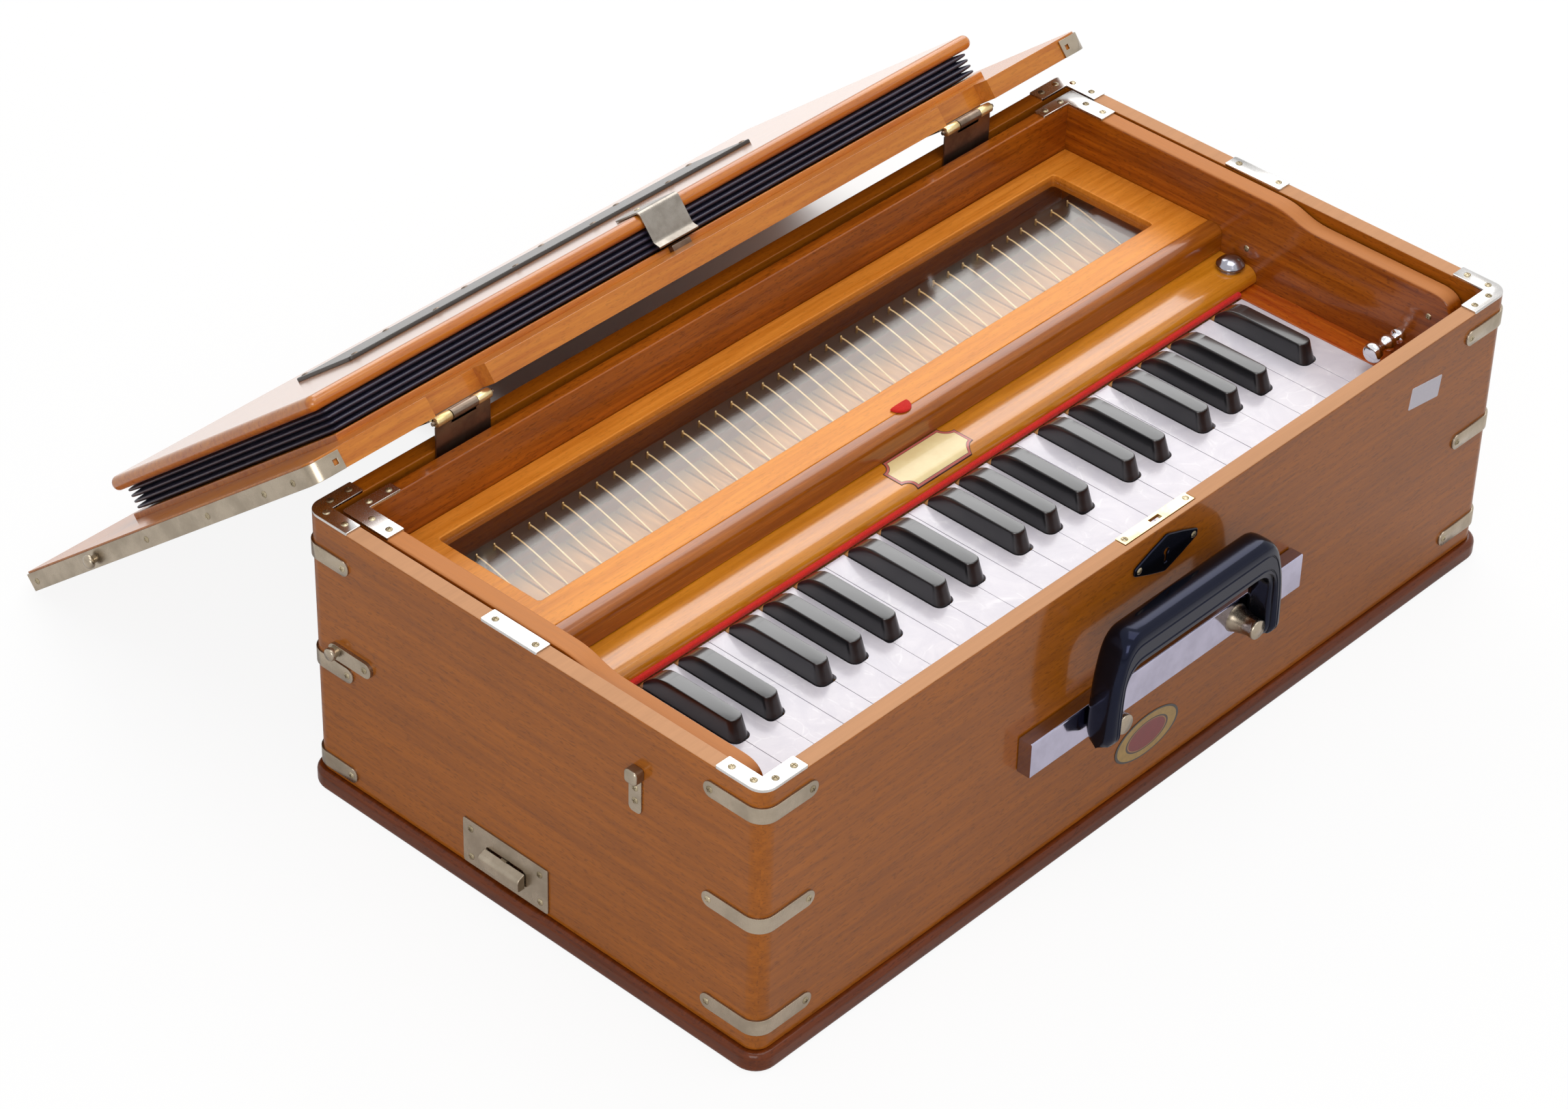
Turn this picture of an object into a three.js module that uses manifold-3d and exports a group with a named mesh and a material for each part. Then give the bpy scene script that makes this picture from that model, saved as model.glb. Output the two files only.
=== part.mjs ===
// A folding Indian harmonium, open for playing: a wooden case, an inner body with
// thirty-nine keys that lifts out of it, and a lid behind that carries the bellows.
// Millimetres. The case stands on z = 0 with its front towards -Y and the bass to -X.
// Everything is drawn from the case's front left corner; the whole is centred at the end.
import * as THREE from "three";
import { mergeVertices } from "three/addons/utils/BufferGeometryUtils.js";
import Module from "manifold-3d";

const wasm = await Module();
wasm.setup();

// ---------------------------------------------------------------- sizes
// Fits
const FIT = 0.3; // between two pieces that touch
const LAP = 0.6; // how far a fused fitting runs into its carrier
const OVERRUN = 40; // how far a cutting shape runs past what it cuts

// Case
const CASE_W = 590;
const CASE_D = 315.6;
const WALL = 10;
const WALL_H = 165.05;
const CORNER_R = 9; // round of the upright corners
const BASE_T = 12;
const BASE_LIP = 4; // how far the moulded base stands out
const BASE_ROUND = 3.5; // bullnose of the base's edge
const RUNNER_H = 17.7; // strips on the base that carry the inner body
const RUNNER_W = 18;
const RUNNER_INSET = 26; // from the wall's inner face
const RUNNER_END = 7;

// Sheet-metal corner fittings of the case
const PLATE_T = 1.2;
const PLATE_LEG = 31; // L plates on the upper edge
const MID_PLATE_BACK = 11.7; // plates' middle behind the case's own
const MID_PLATE_L = 39;
const STRAP_H = 9.5;
const STRAP_FRONT_LEG = 37.5;
const STRAP_REAR_LEG = 32;
const STRAP_SHARES = [0.0921, 0.495, 0.913]; // middles of the front straps, up the wall
const STRAP_REAR_DROP = 7.5; // the rear straps sit this much lower

// Slide latch on the left wall
const LATCH_BACK = 15.7; // plate's middle behind the case's own
const LATCH_L = 61;
const LATCH_Z = 14;
const LATCH_H = 29;
const LATCH_T = 1;
const LATCH_SLOT_L = 38;
const LATCH_SLOT_H = 4.4;
const LATCH_SLOT_Z = 17; // slot's middle above the plate's lower edge
const LATCH_SLOT_DEPTH = 6.5;
const LATCH_ROUND = 1.5;
const TAB_L = 29;
const TAB_H = 8;
const TAB_OUT = 5.6;
const TAB_ROUND = 2;
const TONGUE_L = 12;
const TONGUE_REACH = 5; // into the wall

// Lid catches on the left wall
const HOOK_Y = 82.4; // middle of the upright strip
const HOOK_Z = 118;
const HOOK_H = 22;
const HOOK_W = 8.6;
const HOOK_HEAD = 9.4;
const HOOK_HEAD_OUT = 7.5;
const HOOK_HEAD_SHIFT = 2.4; // the head stands a little behind the strip
const KEEPER_REAR = 15.5; // end of the level strip, from the case's rear face
const KEEPER_L = 31.5;
const KEEPER_H = 9.5;
const KEEPER_Z = 98.5;
const KEEPER_PIN_R = 3.6;
const KEEPER_PIN_OUT = 4.5;

// Lock
const LOCK_SHIFT = 0.5; // of its middle from the case's own
const LOCK_L = 55;
const LOCK_Y = 3.6;
const LOCK_W = 6.9; // width of the strip in the wall's edge
const LOCK_T = 2.4;
const LOCK_BODY_INSET = 5;
const LOCK_BODY_H = 34;
const LOCK_SLOT_L = 8;
const LOCK_SLOT_W = 3;
const LOCK_SLOT_DEPTH = 9;
const ESCUTCHEON_W = 50;
const ESCUTCHEON_H = 23.6;
const ESCUTCHEON_DROP = 17.35; // middle below the case's upper edge
const ESCUTCHEON_T = 1.5;
const ESCUTCHEON_WAIST = 7; // half height where the tips begin
const ESCUTCHEON_SHOULDER = 9; // half width of the blunt middle
const ESCUTCHEON_EDGE = 0.5;
const KEYHOLE_R = 2;
const KEYHOLE_SLOT_W = 2;
const KEYHOLE_SLOT_L = 6;

// Handle
const HANDLE_SHIFT = 3; // of its middle from the case's own
const BAR_L = 220;
const BAR_H = 22;
const BAR_Z = 80;
const BAR_T = 8.7;
const BAR_ROUND = 1;
const POST_REACH = 54; // of each post's axis from the handle's middle
const POST_R = 5;
const PIVOT_OUT = 18.5; // of the grip's axis from the wall
const POST_PAST_PIVOT = 6;
const PIVOT_R = 2.6;
const PIVOT_REACH = 8; // of the pin past the post
const GRIP_FOOT_R = 9.1;
const GRIP_LEG_T = 11;
const GRIP_H = 58.5; // of the grip's back above its axis
const GRIP_BEAM_H = 23;
const GRIP_TOP_INSET = 12; // how far the grip draws in at the top
const GRIP_KNEE = 28; // height above the axis where the legs begin to lean in
const GRIP_KNEE_INSET = 2;
const GRIP_SHOULDER = 13;
const GRIP_ROUND = 4;
const GRIP_THUMB = 12; // round inside between leg and beam

// Hinges between case and lid
const HINGE_DROP_IN = 0.9; // axis ahead of the rear wall's inner face
const HINGE_RISE = 17.65; // axis above the case's upper edge
const HINGE_L = 38.5;
const HINGE_LEFT_INSET = 80.2; // from the case's side to the leaf
const HINGE_RIGHT_INSET = 79.5;
const KNUCKLE_R = 2.8;
const PIN_R = 1.1;
const PIN_PAST = 2;
const KNUCKLE_SHARES = [0, 0.28, 0.74, 1];
const LEAF_T = 1.2;
const LEAF_DOWN = 18; // of the fixed leaf below the case's upper edge
const LID_LEAF_T = 1.5;
const LID_LEAF_L = 22;

// Lid; a runs from the hinge axis down the open lid, b from the axis to the bellows' side
const LID_SLOPE = THREE.MathUtils.degToRad(39.6); // below the horizontal, as open
const LID_T = 11.5;
const LID_RISE = 3.1; // outer face from the hinge axis
const LID_NEAR = 5.9; // near edge before the hinge axis
const LID_OVERLAP = 1.5; // past the case's sides
const LID_FRONT_OVERLAP = 2.4; // past the case's front when closed
const LID_CORNER_R = 8;
const LID_ARRIS = 3;
const NOTCH_DEPTH = 12;
const NOTCH_PLAY = 1.4; // beside the hinge's barrel

// Nickel strips round the lid's edge
const STRIP_T = 1;
const STRIP_W = 10.4;
const STRIP_RETURN = 17; // along the near edge from the lid's corner
const STRIP_HOLE = 3;
const STRIP_HOLE_X = 12.7;
const PIN_KNOB_A = 231;
const PIN_KNOB_R = 4;
const PIN_KNOB_OUT = 6;
const PIN_KNOB_NECK_R = 2.2;
const PIN_KNOB_NECK = 2;

// Bellows
const BELLOWS_LEFT = 42; // margins beside the folds' ply
const BELLOWS_RIGHT = 48;
const BELLOWS_A = 28.5;
const BELLOWS_L = 222;
const BELLOWS_PLY_T = 3.4;
const FOLDS_H = 14;
const FOLDS_INSET = 1.6;
const FOLD_DEPTH = 5;
const FOLD_COUNT = 5;
const FOLD_EDGE_SHARE = 0.12; // flat outer edge of each fold
const BOARD_T = 8.5;
const BOARD_OUT = 5; // past the folds' ply at each side
const BOARD_CORNER = 5;
const BOARD_ROUND = 3;
const FLAP_INSET = 56; // from the ply's left side
const FLAP_W = 304;
const FLAP_BACK = 96.5; // from the ply's near edge
const FLAP_L = 64;
const FLAP_T = 3;
const FLAP_ROUND = 2;
const CLIP_SHIFT = -4; // of its middle from the case's own
const CLIP_W = 30;
const CLIP_T = 1.1;
const CLIP_REACH = 32; // over the board
const CLIP_BEND = 3;
const CLIP_TAIL = 1.4; // of the clip above the catch
const CATCH_W = 16;
const CATCH_L = 5;
const CATCH_H = 3.9;

// Inner body
const BODY_GAP_LEFT = 2; // to the case's inner faces
const BODY_GAP_RIGHT = 1;
const BODY_GAP_FRONT = 10;
const BODY_GAP_REAR = 4.8;
const BODY_DROP = 0.35; // below the case's upper edge
const CHEEK_T = 11.8;
const CHEEK_ARRIS = 1.6;
const CHEEK_REAR_L = 153.8; // level rear stretch of the cheek's upper edge
const CHEEK_SWEEP = 36; // length of the curve down to the front stretch
const CHEEK_DIP = 6;
const CHEEK_NOSE = 14; // round of the cheek's front end
const REAR_T = 7.8;
const FRONT_T = 12;
const FRONT_DROP = 69; // upper edge of the front rail below the cheeks'
const CORNER_PLATE_LEG = 33;
const KEYBED_T = 10;
const LEFT_BLOCK_W = 28.2;
const RIGHT_BLOCK_W = 16.9;
const BALANCE_H = 8.7;
const BALANCE_W = 6;

// Pull knob on the right cheek
const PULL_Y = 31.5; // behind the body's front face
const PULL_RISE = 13.5; // above the keys
const PULL_L = 27;
const PULL_R = 6;
const PULL_SHARES = [
  [0, 0],
  [0, 0.82],
  [0.05, 0.97],
  [0.13, 1],
  [0.2, 0.9],
  [0.27, 0.56],
  [0.4, 0.5],
  [0.5, 0.74],
  [0.6, 0.84],
  [0.7, 0.72],
  [0.8, 0.46],
  [0.88, 0.44],
  [0.9, 0.74],
  [1.03, 0.74],
  [1.03, 0],
];

// Keys
const WHITE_KEYS = 23;
const KEY_DROP = 56; // white keys' tops below the cheeks' upper edge
const KEY_H = 18;
const KEY_SET_BACK = 4; // of the keys' fronts behind the front rail
const KEY_GAP = 0.6;
const WHITE_PLATE_T = 2.4;
const WHITE_LIP = 1.2; // of the plate over the key's body in front
const WHITE_SIDE_INSET = 0.4; // of the head's body under its plate
const WHITE_HEAD = 43.5; // full-width front part
const WHITE_L = 108; // front edge to felt
const BLACK_FRONT_GAP = 1.2;
const BLACK_W = 12;
const BLACK_TOP_W = 9.4;
const BLACK_H = 11.5;
const BLACK_SHIFT_SHARES = { 0: -0.02, 1: 0.152, 3: -0.148, 4: 0.004, 5: 0.196 };
// Along a black key: place, height and width.
const BLACK_STATION_SHARES = [
  [0, 0.16, 0.66],
  [0.016, 0.4, 0.84],
  [0.04, 0.74, 0.95],
  [0.066, 0.94, 1],
  [0.1, 1, 1],
  [0.76, 1, 1],
  [0.86, 0.92, 1],
  [0.94, 0.62, 1],
  [1, 0.02, 1],
];
const BLACK_SIDE_SHARE = 0.61; // where the taper begins, of the whole height
const BLACK_SHOULDER_SHARE = 0.95;
const LEVER_INSET = 0.4; // beside the lever, from the key's tail
const LEVER_DROP = 2.5; // lever's top below the white keys'
const LEVER_STEP = 2.5; // further drop behind the pivot
const LEVER_STEP_BACK = 5;
const LEVER_REAR_GAP = 31; // lever's end before the rear wall
const PIVOT_FROM_END = 62;

// Felt, cover, deck and window
const FELT_W = 5.7;
const FELT_H = 3.2;
const COVER_D = 34;
const COVER_H = 9.7;
const COVER_NOSE = 7;
const COVER_ARRIS = 2;
const COVER_KNOB_INSET = 9; // from the cover's right end
const COVER_KNOB_Y = 12.5; // behind the cover's front
const COVER_KNOB_R = 6.8;
const COVER_KNOB_H = 6.4;
const COVER_KNOB_SHARES = [
  [0, -0.2],
  [0.86, -0.2],
  [0.86, 0.14],
  [1, 0.24],
  [1, 0.44],
  [0.84, 0.72],
  [0.56, 0.92],
  [0.28, 0.99],
  [0, 1],
];
const DECK_DROP = 29.5;
const DECK_T = 8;
const MOULDING_D = 6.7;
const MOULDING_SEAT_D = 16;
const MOULDING_ROUND = 6;
const WINDOW_LEFT = 33.2; // margins of the window in the deck
const WINDOW_RIGHT = 26.2;
const WINDOW_REAR = 13.7;
const WINDOW_FRONT = 29.6; // behind the moulding's face
const WINDOW_CORNER = 2;
const GLASS_T = 2;
const GLASS_LAP = 7;

// Spring rail under the glass
const RAIL_REAR_GAP = 17;
const RAIL_D = 12;
const RAIL_H = 8;
const RAIL_DROP = 7; // rail's top below the glass
const SPRING_PIN_R = 0.8;
const SPRING_PIN_H = 4.2;
const SPRING_R = 0.5;
const SPRING_PIN_SETBACK = 7;
const SPRING_FOOT_Y = 12; // spring's foot behind the key's pivot
const SPRING_CLEAR = 1; // of the spring's foot above the levers
const SPRING_RISE = 2.6; // where the wire leaves the pin, above the rail

// Counts of facets
const ARC = 4;
const ROUND = 20;
const SMALL_ROUND = 12;
const KNOB_ROUND = 16;

// ---------------------------------------------------------------- levels and places
const CASE_TOP_Z = BASE_T + FIT + WALL_H;
const BODY_TOP_Z = CASE_TOP_Z - BODY_DROP;
const RUNNER_TOP_Z = BASE_T + RUNNER_H;
const BODY_BOTTOM_Z = RUNNER_TOP_Z + FIT;

const BODY_X0 = WALL + BODY_GAP_LEFT;
const BODY_X1 = CASE_W - WALL - BODY_GAP_RIGHT;
const BODY_Y0 = WALL + BODY_GAP_FRONT;
const BODY_Y1 = CASE_D - WALL - BODY_GAP_REAR;
const WELL_X0 = BODY_X0 + CHEEK_T; // inner faces of the cheeks and the rear wall
const WELL_X1 = BODY_X1 - CHEEK_T;
const WELL_Y1 = BODY_Y1 - REAR_T;

const KEY_TOP_Z = BODY_TOP_Z - KEY_DROP;
const KEY_BOTTOM_Z = KEY_TOP_Z - KEY_H;
const KEYBED_TOP_Z = KEY_BOTTOM_Z - FIT - BALANCE_H;
const KEY_Y0 = BODY_Y0 + FRONT_T + KEY_SET_BACK;
const NOTCH_Y = KEY_Y0 + WHITE_HEAD;
const FELT_Y0 = KEY_Y0 + WHITE_L;
const COVER_Y0 = FELT_Y0 + FELT_W + FIT;
const COVER_TOP_Z = KEY_TOP_Z + FIT + COVER_H;
const LEVER_Y1 = WELL_Y1 - LEVER_REAR_GAP;
const PIVOT_Y = LEVER_Y1 - PIVOT_FROM_END;
const LEVER_TOP_Z = KEY_TOP_Z - LEVER_DROP;
const LEVER_REAR_Z = LEVER_TOP_Z - LEVER_STEP;
const KEYS_X0 = WELL_X0 + LEFT_BLOCK_W + FIT;
const KEYS_X1 = WELL_X1 - RIGHT_BLOCK_W - FIT;
const KEY_PITCH = (KEYS_X1 - KEYS_X0) / WHITE_KEYS;

const DECK_TOP_Z = BODY_TOP_Z - DECK_DROP;
const DECK_BOTTOM_Z = DECK_TOP_Z - DECK_T;
const GLASS_BOTTOM_Z = DECK_BOTTOM_Z - FIT - GLASS_T;
const MOULDING_Y0 = COVER_Y0 + COVER_D - MOULDING_D - LAP;
const DECK_Y1 = WELL_Y1 - FIT;
const WINDOW_Y1 = WELL_Y1 - WINDOW_REAR;
const WINDOW_Y0 = MOULDING_Y0 + WINDOW_FRONT;
const WINDOW_X0 = WELL_X0 + WINDOW_LEFT;
const WINDOW_X1 = WELL_X1 - WINDOW_RIGHT;

const MIDDLE_X = CASE_W / 2;
const MIDDLE_Y = CASE_D / 2;
const MID_PLATE_Y = MIDDLE_Y + MID_PLATE_BACK - MID_PLATE_L / 2;
const LATCH_Y = MIDDLE_Y + LATCH_BACK - LATCH_L / 2;
const LOCK_X = MIDDLE_X + LOCK_SHIFT - LOCK_L / 2;
const HANDLE_X = MIDDLE_X + HANDLE_SHIFT;

const HINGE_LEFT_X = HINGE_LEFT_INSET;
const HINGE_RIGHT_X = CASE_W - HINGE_RIGHT_INSET - HINGE_L;
const HINGE_Y = CASE_D - WALL - HINGE_DROP_IN;
const HINGE_Z = CASE_TOP_Z + HINGE_RISE;
const LID_FAR = HINGE_Y + LID_FRONT_OVERLAP;
const LID_X0 = -LID_OVERLAP;
const LID_X1 = CASE_W + LID_OVERLAP;
const LID_INSIDE = LID_RISE + LID_T;
const BELLOWS_X = BELLOWS_LEFT;
const BELLOWS_W = CASE_W - BELLOWS_LEFT - BELLOWS_RIGHT;
const FLAP_X = BELLOWS_X + FLAP_INSET;
const FLAP_A = BELLOWS_A + FLAP_BACK;
const CLIP_X = MIDDLE_X + CLIP_SHIFT - CLIP_W / 2;
const FOLDS_B = LID_INSIDE + BELLOWS_PLY_T + FIT;
const BOARD_B = FOLDS_B + FOLDS_H + FIT;

// ---------------------------------------------------------------- shapes
const WELD = 1e-4; // vertices nearer than this are one

// A closed three.js geometry as a solid that joins and cuts.
function solid(geometry) {
  const bare = geometry.index ? geometry.toNonIndexed() : geometry.clone();
  bare.deleteAttribute("normal");
  bare.deleteAttribute("uv");
  const merged = mergeVertices(bare, WELD);
  const corners = merged.index.array;
  const kept = [];
  for (let i = 0; i < corners.length; i += 3) {
    const [a, b, c] = corners.slice(i, i + 3);
    if (a !== b && b !== c && c !== a) kept.push(a, b, c);
  }
  return new wasm.Manifold(
    new wasm.Mesh({
      numProp: 3,
      vertProperties: merged.attributes.position.array,
      triVerts: new Uint32Array(kept),
    }),
  );
}

const join = (...bodies) => bodies.flat().reduce((a, b) => a.add(b));
const cut = (body, ...tools) => tools.flat().reduce((a, b) => a.subtract(b), body);
const common = (a, b) => a.intersect(b);

// A solid as a named mesh.
function piece(name, body, material) {
  const made = body.getMesh();
  const geometry = new THREE.BufferGeometry();
  geometry.setAttribute(
    "position",
    new THREE.BufferAttribute(new Float32Array(made.vertProperties), 3),
  );
  geometry.setIndex(new THREE.BufferAttribute(new Uint32Array(made.triVerts), 1));
  const flat = geometry.toNonIndexed();
  flat.computeVertexNormals();
  const mesh = new THREE.Mesh(flat, material);
  mesh.name = name;
  return mesh;
}

// A squared block between two corners.
function block([x0, x1], [y0, y1], [z0, z1]) {
  const box = new THREE.BoxGeometry(x1 - x0, y1 - y0, z1 - z0);
  box.translate((x0 + x1) / 2, (y0 + y1) / 2, (z0 + z1) / 2);
  return solid(box);
}

// A closed outline through corners [u, v, round]; round is how far on either side of
// the corner its curve runs.
function outline(corners) {
  const shape = new THREE.Shape();
  const at = (i) => {
    const [u, v] = corners[(i + corners.length) % corners.length];
    return new THREE.Vector2(u, v);
  };
  corners.forEach(([u, v, round = 0], i) => {
    const here = at(i);
    const enter = at(i - 1).sub(here).setLength(round).add(here);
    const leave = at(i + 1).sub(here).setLength(round).add(here);
    if (i === 0) shape.moveTo(enter.x, enter.y);
    else shape.lineTo(enter.x, enter.y);
    if (round > 0) shape.quadraticCurveTo(u, v, leave.x, leave.y);
  });
  return shape;
}

const rectangle = ([u0, u1], [v0, v1], round = 0) =>
  outline([
    [u0, v0, round],
    [u1, v0, round],
    [u1, v1, round],
    [u0, v1, round],
  ]);

// A strip's outline with half-round ends.
function slotShape([u0, u1], [v0, v1]) {
  const r = (v1 - v0) / 2;
  const shape = new THREE.Shape();
  shape.absarc(u0 + r, v0 + r, r, Math.PI / 2, (3 * Math.PI) / 2, false);
  shape.absarc(u1 - r, v0 + r, r, -Math.PI / 2, Math.PI / 2, false);
  return shape;
}

// An outline drawn out along an axis. A bevel rounds both ends and stays inside the outline.
function drawn(shape, axis, [from, to], bevel = 0, steps = ARC) {
  const geometry = new THREE.ExtrudeGeometry(shape, {
    depth: to - from - 2 * bevel,
    curveSegments: steps,
    bevelEnabled: bevel > 0,
    bevelThickness: bevel,
    bevelSize: bevel,
    bevelOffset: -bevel,
    bevelSegments: 2,
  });
  geometry.translate(0, 0, bevel);
  const [x, y, z] = [
    new THREE.Vector3(1, 0, 0),
    new THREE.Vector3(0, 1, 0),
    new THREE.Vector3(0, 0, 1),
  ];
  const turn = new THREE.Matrix4();
  if (axis === "x") turn.makeBasis(y, z, x).setPosition(from, 0, 0);
  else if (axis === "y") turn.makeBasis(x, z, y.negate()).setPosition(0, to, 0);
  else turn.setPosition(0, 0, from);
  return solid(geometry.applyMatrix4(turn));
}

// A round bar along an axis.
function rod(r, axis, [from, to], [u, v], sides = ROUND) {
  const bar = new THREE.CylinderGeometry(r, r, to - from, sides);
  const middle = (from + to) / 2;
  if (axis === "x") bar.rotateZ(Math.PI / 2).translate(middle, u, v);
  else if (axis === "y") bar.translate(u, middle, v);
  else bar.rotateX(Math.PI / 2).translate(u, v, middle);
  return solid(bar);
}

// A closed profile [along, radius] turned about its axis, which runs along +X or +Z.
function turned(profile, axis, [x, y, z], sides = ROUND) {
  const lathe = new THREE.LatheGeometry(
    profile.map(([along, radius]) => new THREE.Vector2(radius, along)),
    sides,
  );
  if (axis === "x") lathe.rotateZ(-Math.PI / 2);
  else lathe.rotateX(Math.PI / 2);
  return solid(lathe.translate(x, y, z));
}

// Rings of points, each ring an array of [x, y, z], joined by faces and capped.
function lofted(rings) {
  const n = rings[0].length;
  const index = [];
  for (let r = 0; r + 1 < rings.length; r++)
    for (let i = 0; i < n; i++) {
      const j = (i + 1) % n;
      const [a, b, c, d] = [r * n + i, r * n + j, (r + 1) * n + j, (r + 1) * n + i];
      index.push(a, b, c, a, c, d);
    }
  const last = (rings.length - 1) * n;
  for (let i = 1; i + 1 < n; i++) {
    index.push(0, i + 1, i);
    index.push(last, last + i, last + i + 1);
  }
  const geometry = new THREE.BufferGeometry();
  geometry.setAttribute("position", new THREE.Float32BufferAttribute(rings.flat(2), 3));
  geometry.setIndex(index);
  return solid(geometry);
}

// The stretch that starts at an edge and runs by a length towards dir (+1 or -1).
const reach = (edge, dir, from, to) =>
  dir > 0 ? [edge + from, edge + to] : [edge - to, edge - from];

// ---------------------------------------------------------------- looks
const look = (color, roughness, metalness = 0) =>
  new THREE.MeshStandardMaterial({ color, roughness, metalness });
const CASE_WOOD = look(0x93603a, 0.45);
const BODY_WOOD = look(0xb0661e, 0.3);
const DECK_WOOD = look(0xc98248, 0.3);
const IVORY = look(0xe9e6ec, 0.25);
const EBONY = look(0x1c1b22, 0.3);
const NICKEL = look(0xb9b5a8, 0.35, 1);
const BRASS = look(0xc9a64b, 0.35, 1);
const CHROME = look(0xe2e2e6, 0.08, 1);
const BLACK_PLASTIC = look(0x16171b, 0.35);
const FELT = look(0xc4232b, 0.95);
const NAVY_CLOTH = look(0x1d1f2e, 0.8);
const DARK_STEEL = look(0x3c3630, 0.4, 1);
const GLASS = new THREE.MeshStandardMaterial({
  color: 0xdfe6e4,
  roughness: 0.05,
  transparent: true,
  opacity: 0.25,
});

// ---------------------------------------------------------------- case
const caseOutline = (grow) =>
  rectangle([-grow, CASE_W + grow], [-grow, CASE_D + grow], CORNER_R + grow);

function caseBase() {
  const board = drawn(caseOutline(BASE_LIP), "z", [0, BASE_T], BASE_ROUND);
  const runner = (x) =>
    block(
      [x, x + RUNNER_W],
      [WALL + RUNNER_END, CASE_D - WALL - RUNNER_END],
      [BASE_T - LAP, RUNNER_TOP_Z],
    );
  return join(
    board,
    runner(WALL + RUNNER_INSET),
    runner(CASE_W - WALL - RUNNER_INSET - RUNNER_W),
  );
}

// A strap bent round an upright corner: a thin ring round the case, kept only where the
// two half-round legs reach.
function cornerStrap(ring, dirX, dirY, middle) {
  const leg = dirY > 0 ? STRAP_FRONT_LEG : STRAP_REAR_LEG;
  const [edgeX, edgeY] = [dirX > 0 ? 0 : CASE_W, dirY > 0 ? 0 : CASE_D];
  const span = [middle - STRAP_H / 2, middle + STRAP_H / 2];
  const along = (edge, dir) => slotShape(reach(edge, dir, -OVERRUN, leg), span);
  const frontLeg = drawn(along(edgeX, dirX), "y", reach(edgeY, dirY, -OVERRUN, CORNER_R));
  const sideLeg = drawn(along(edgeY, dirY), "x", reach(edgeX, dirX, -OVERRUN, CORNER_R));
  return common(ring(span), join(frontLeg, sideLeg));
}

function slideLatchPlate() {
  return drawn(
    rectangle([LATCH_Y, LATCH_Y + LATCH_L], [LATCH_Z, LATCH_Z + LATCH_H], LATCH_ROUND),
    "x",
    [-LATCH_T, LAP],
  );
}

const LATCH_MIDDLE_Y = LATCH_Y + LATCH_L / 2;
const LATCH_SLOT_MIDDLE_Z = LATCH_Z + LATCH_SLOT_Z;

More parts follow.
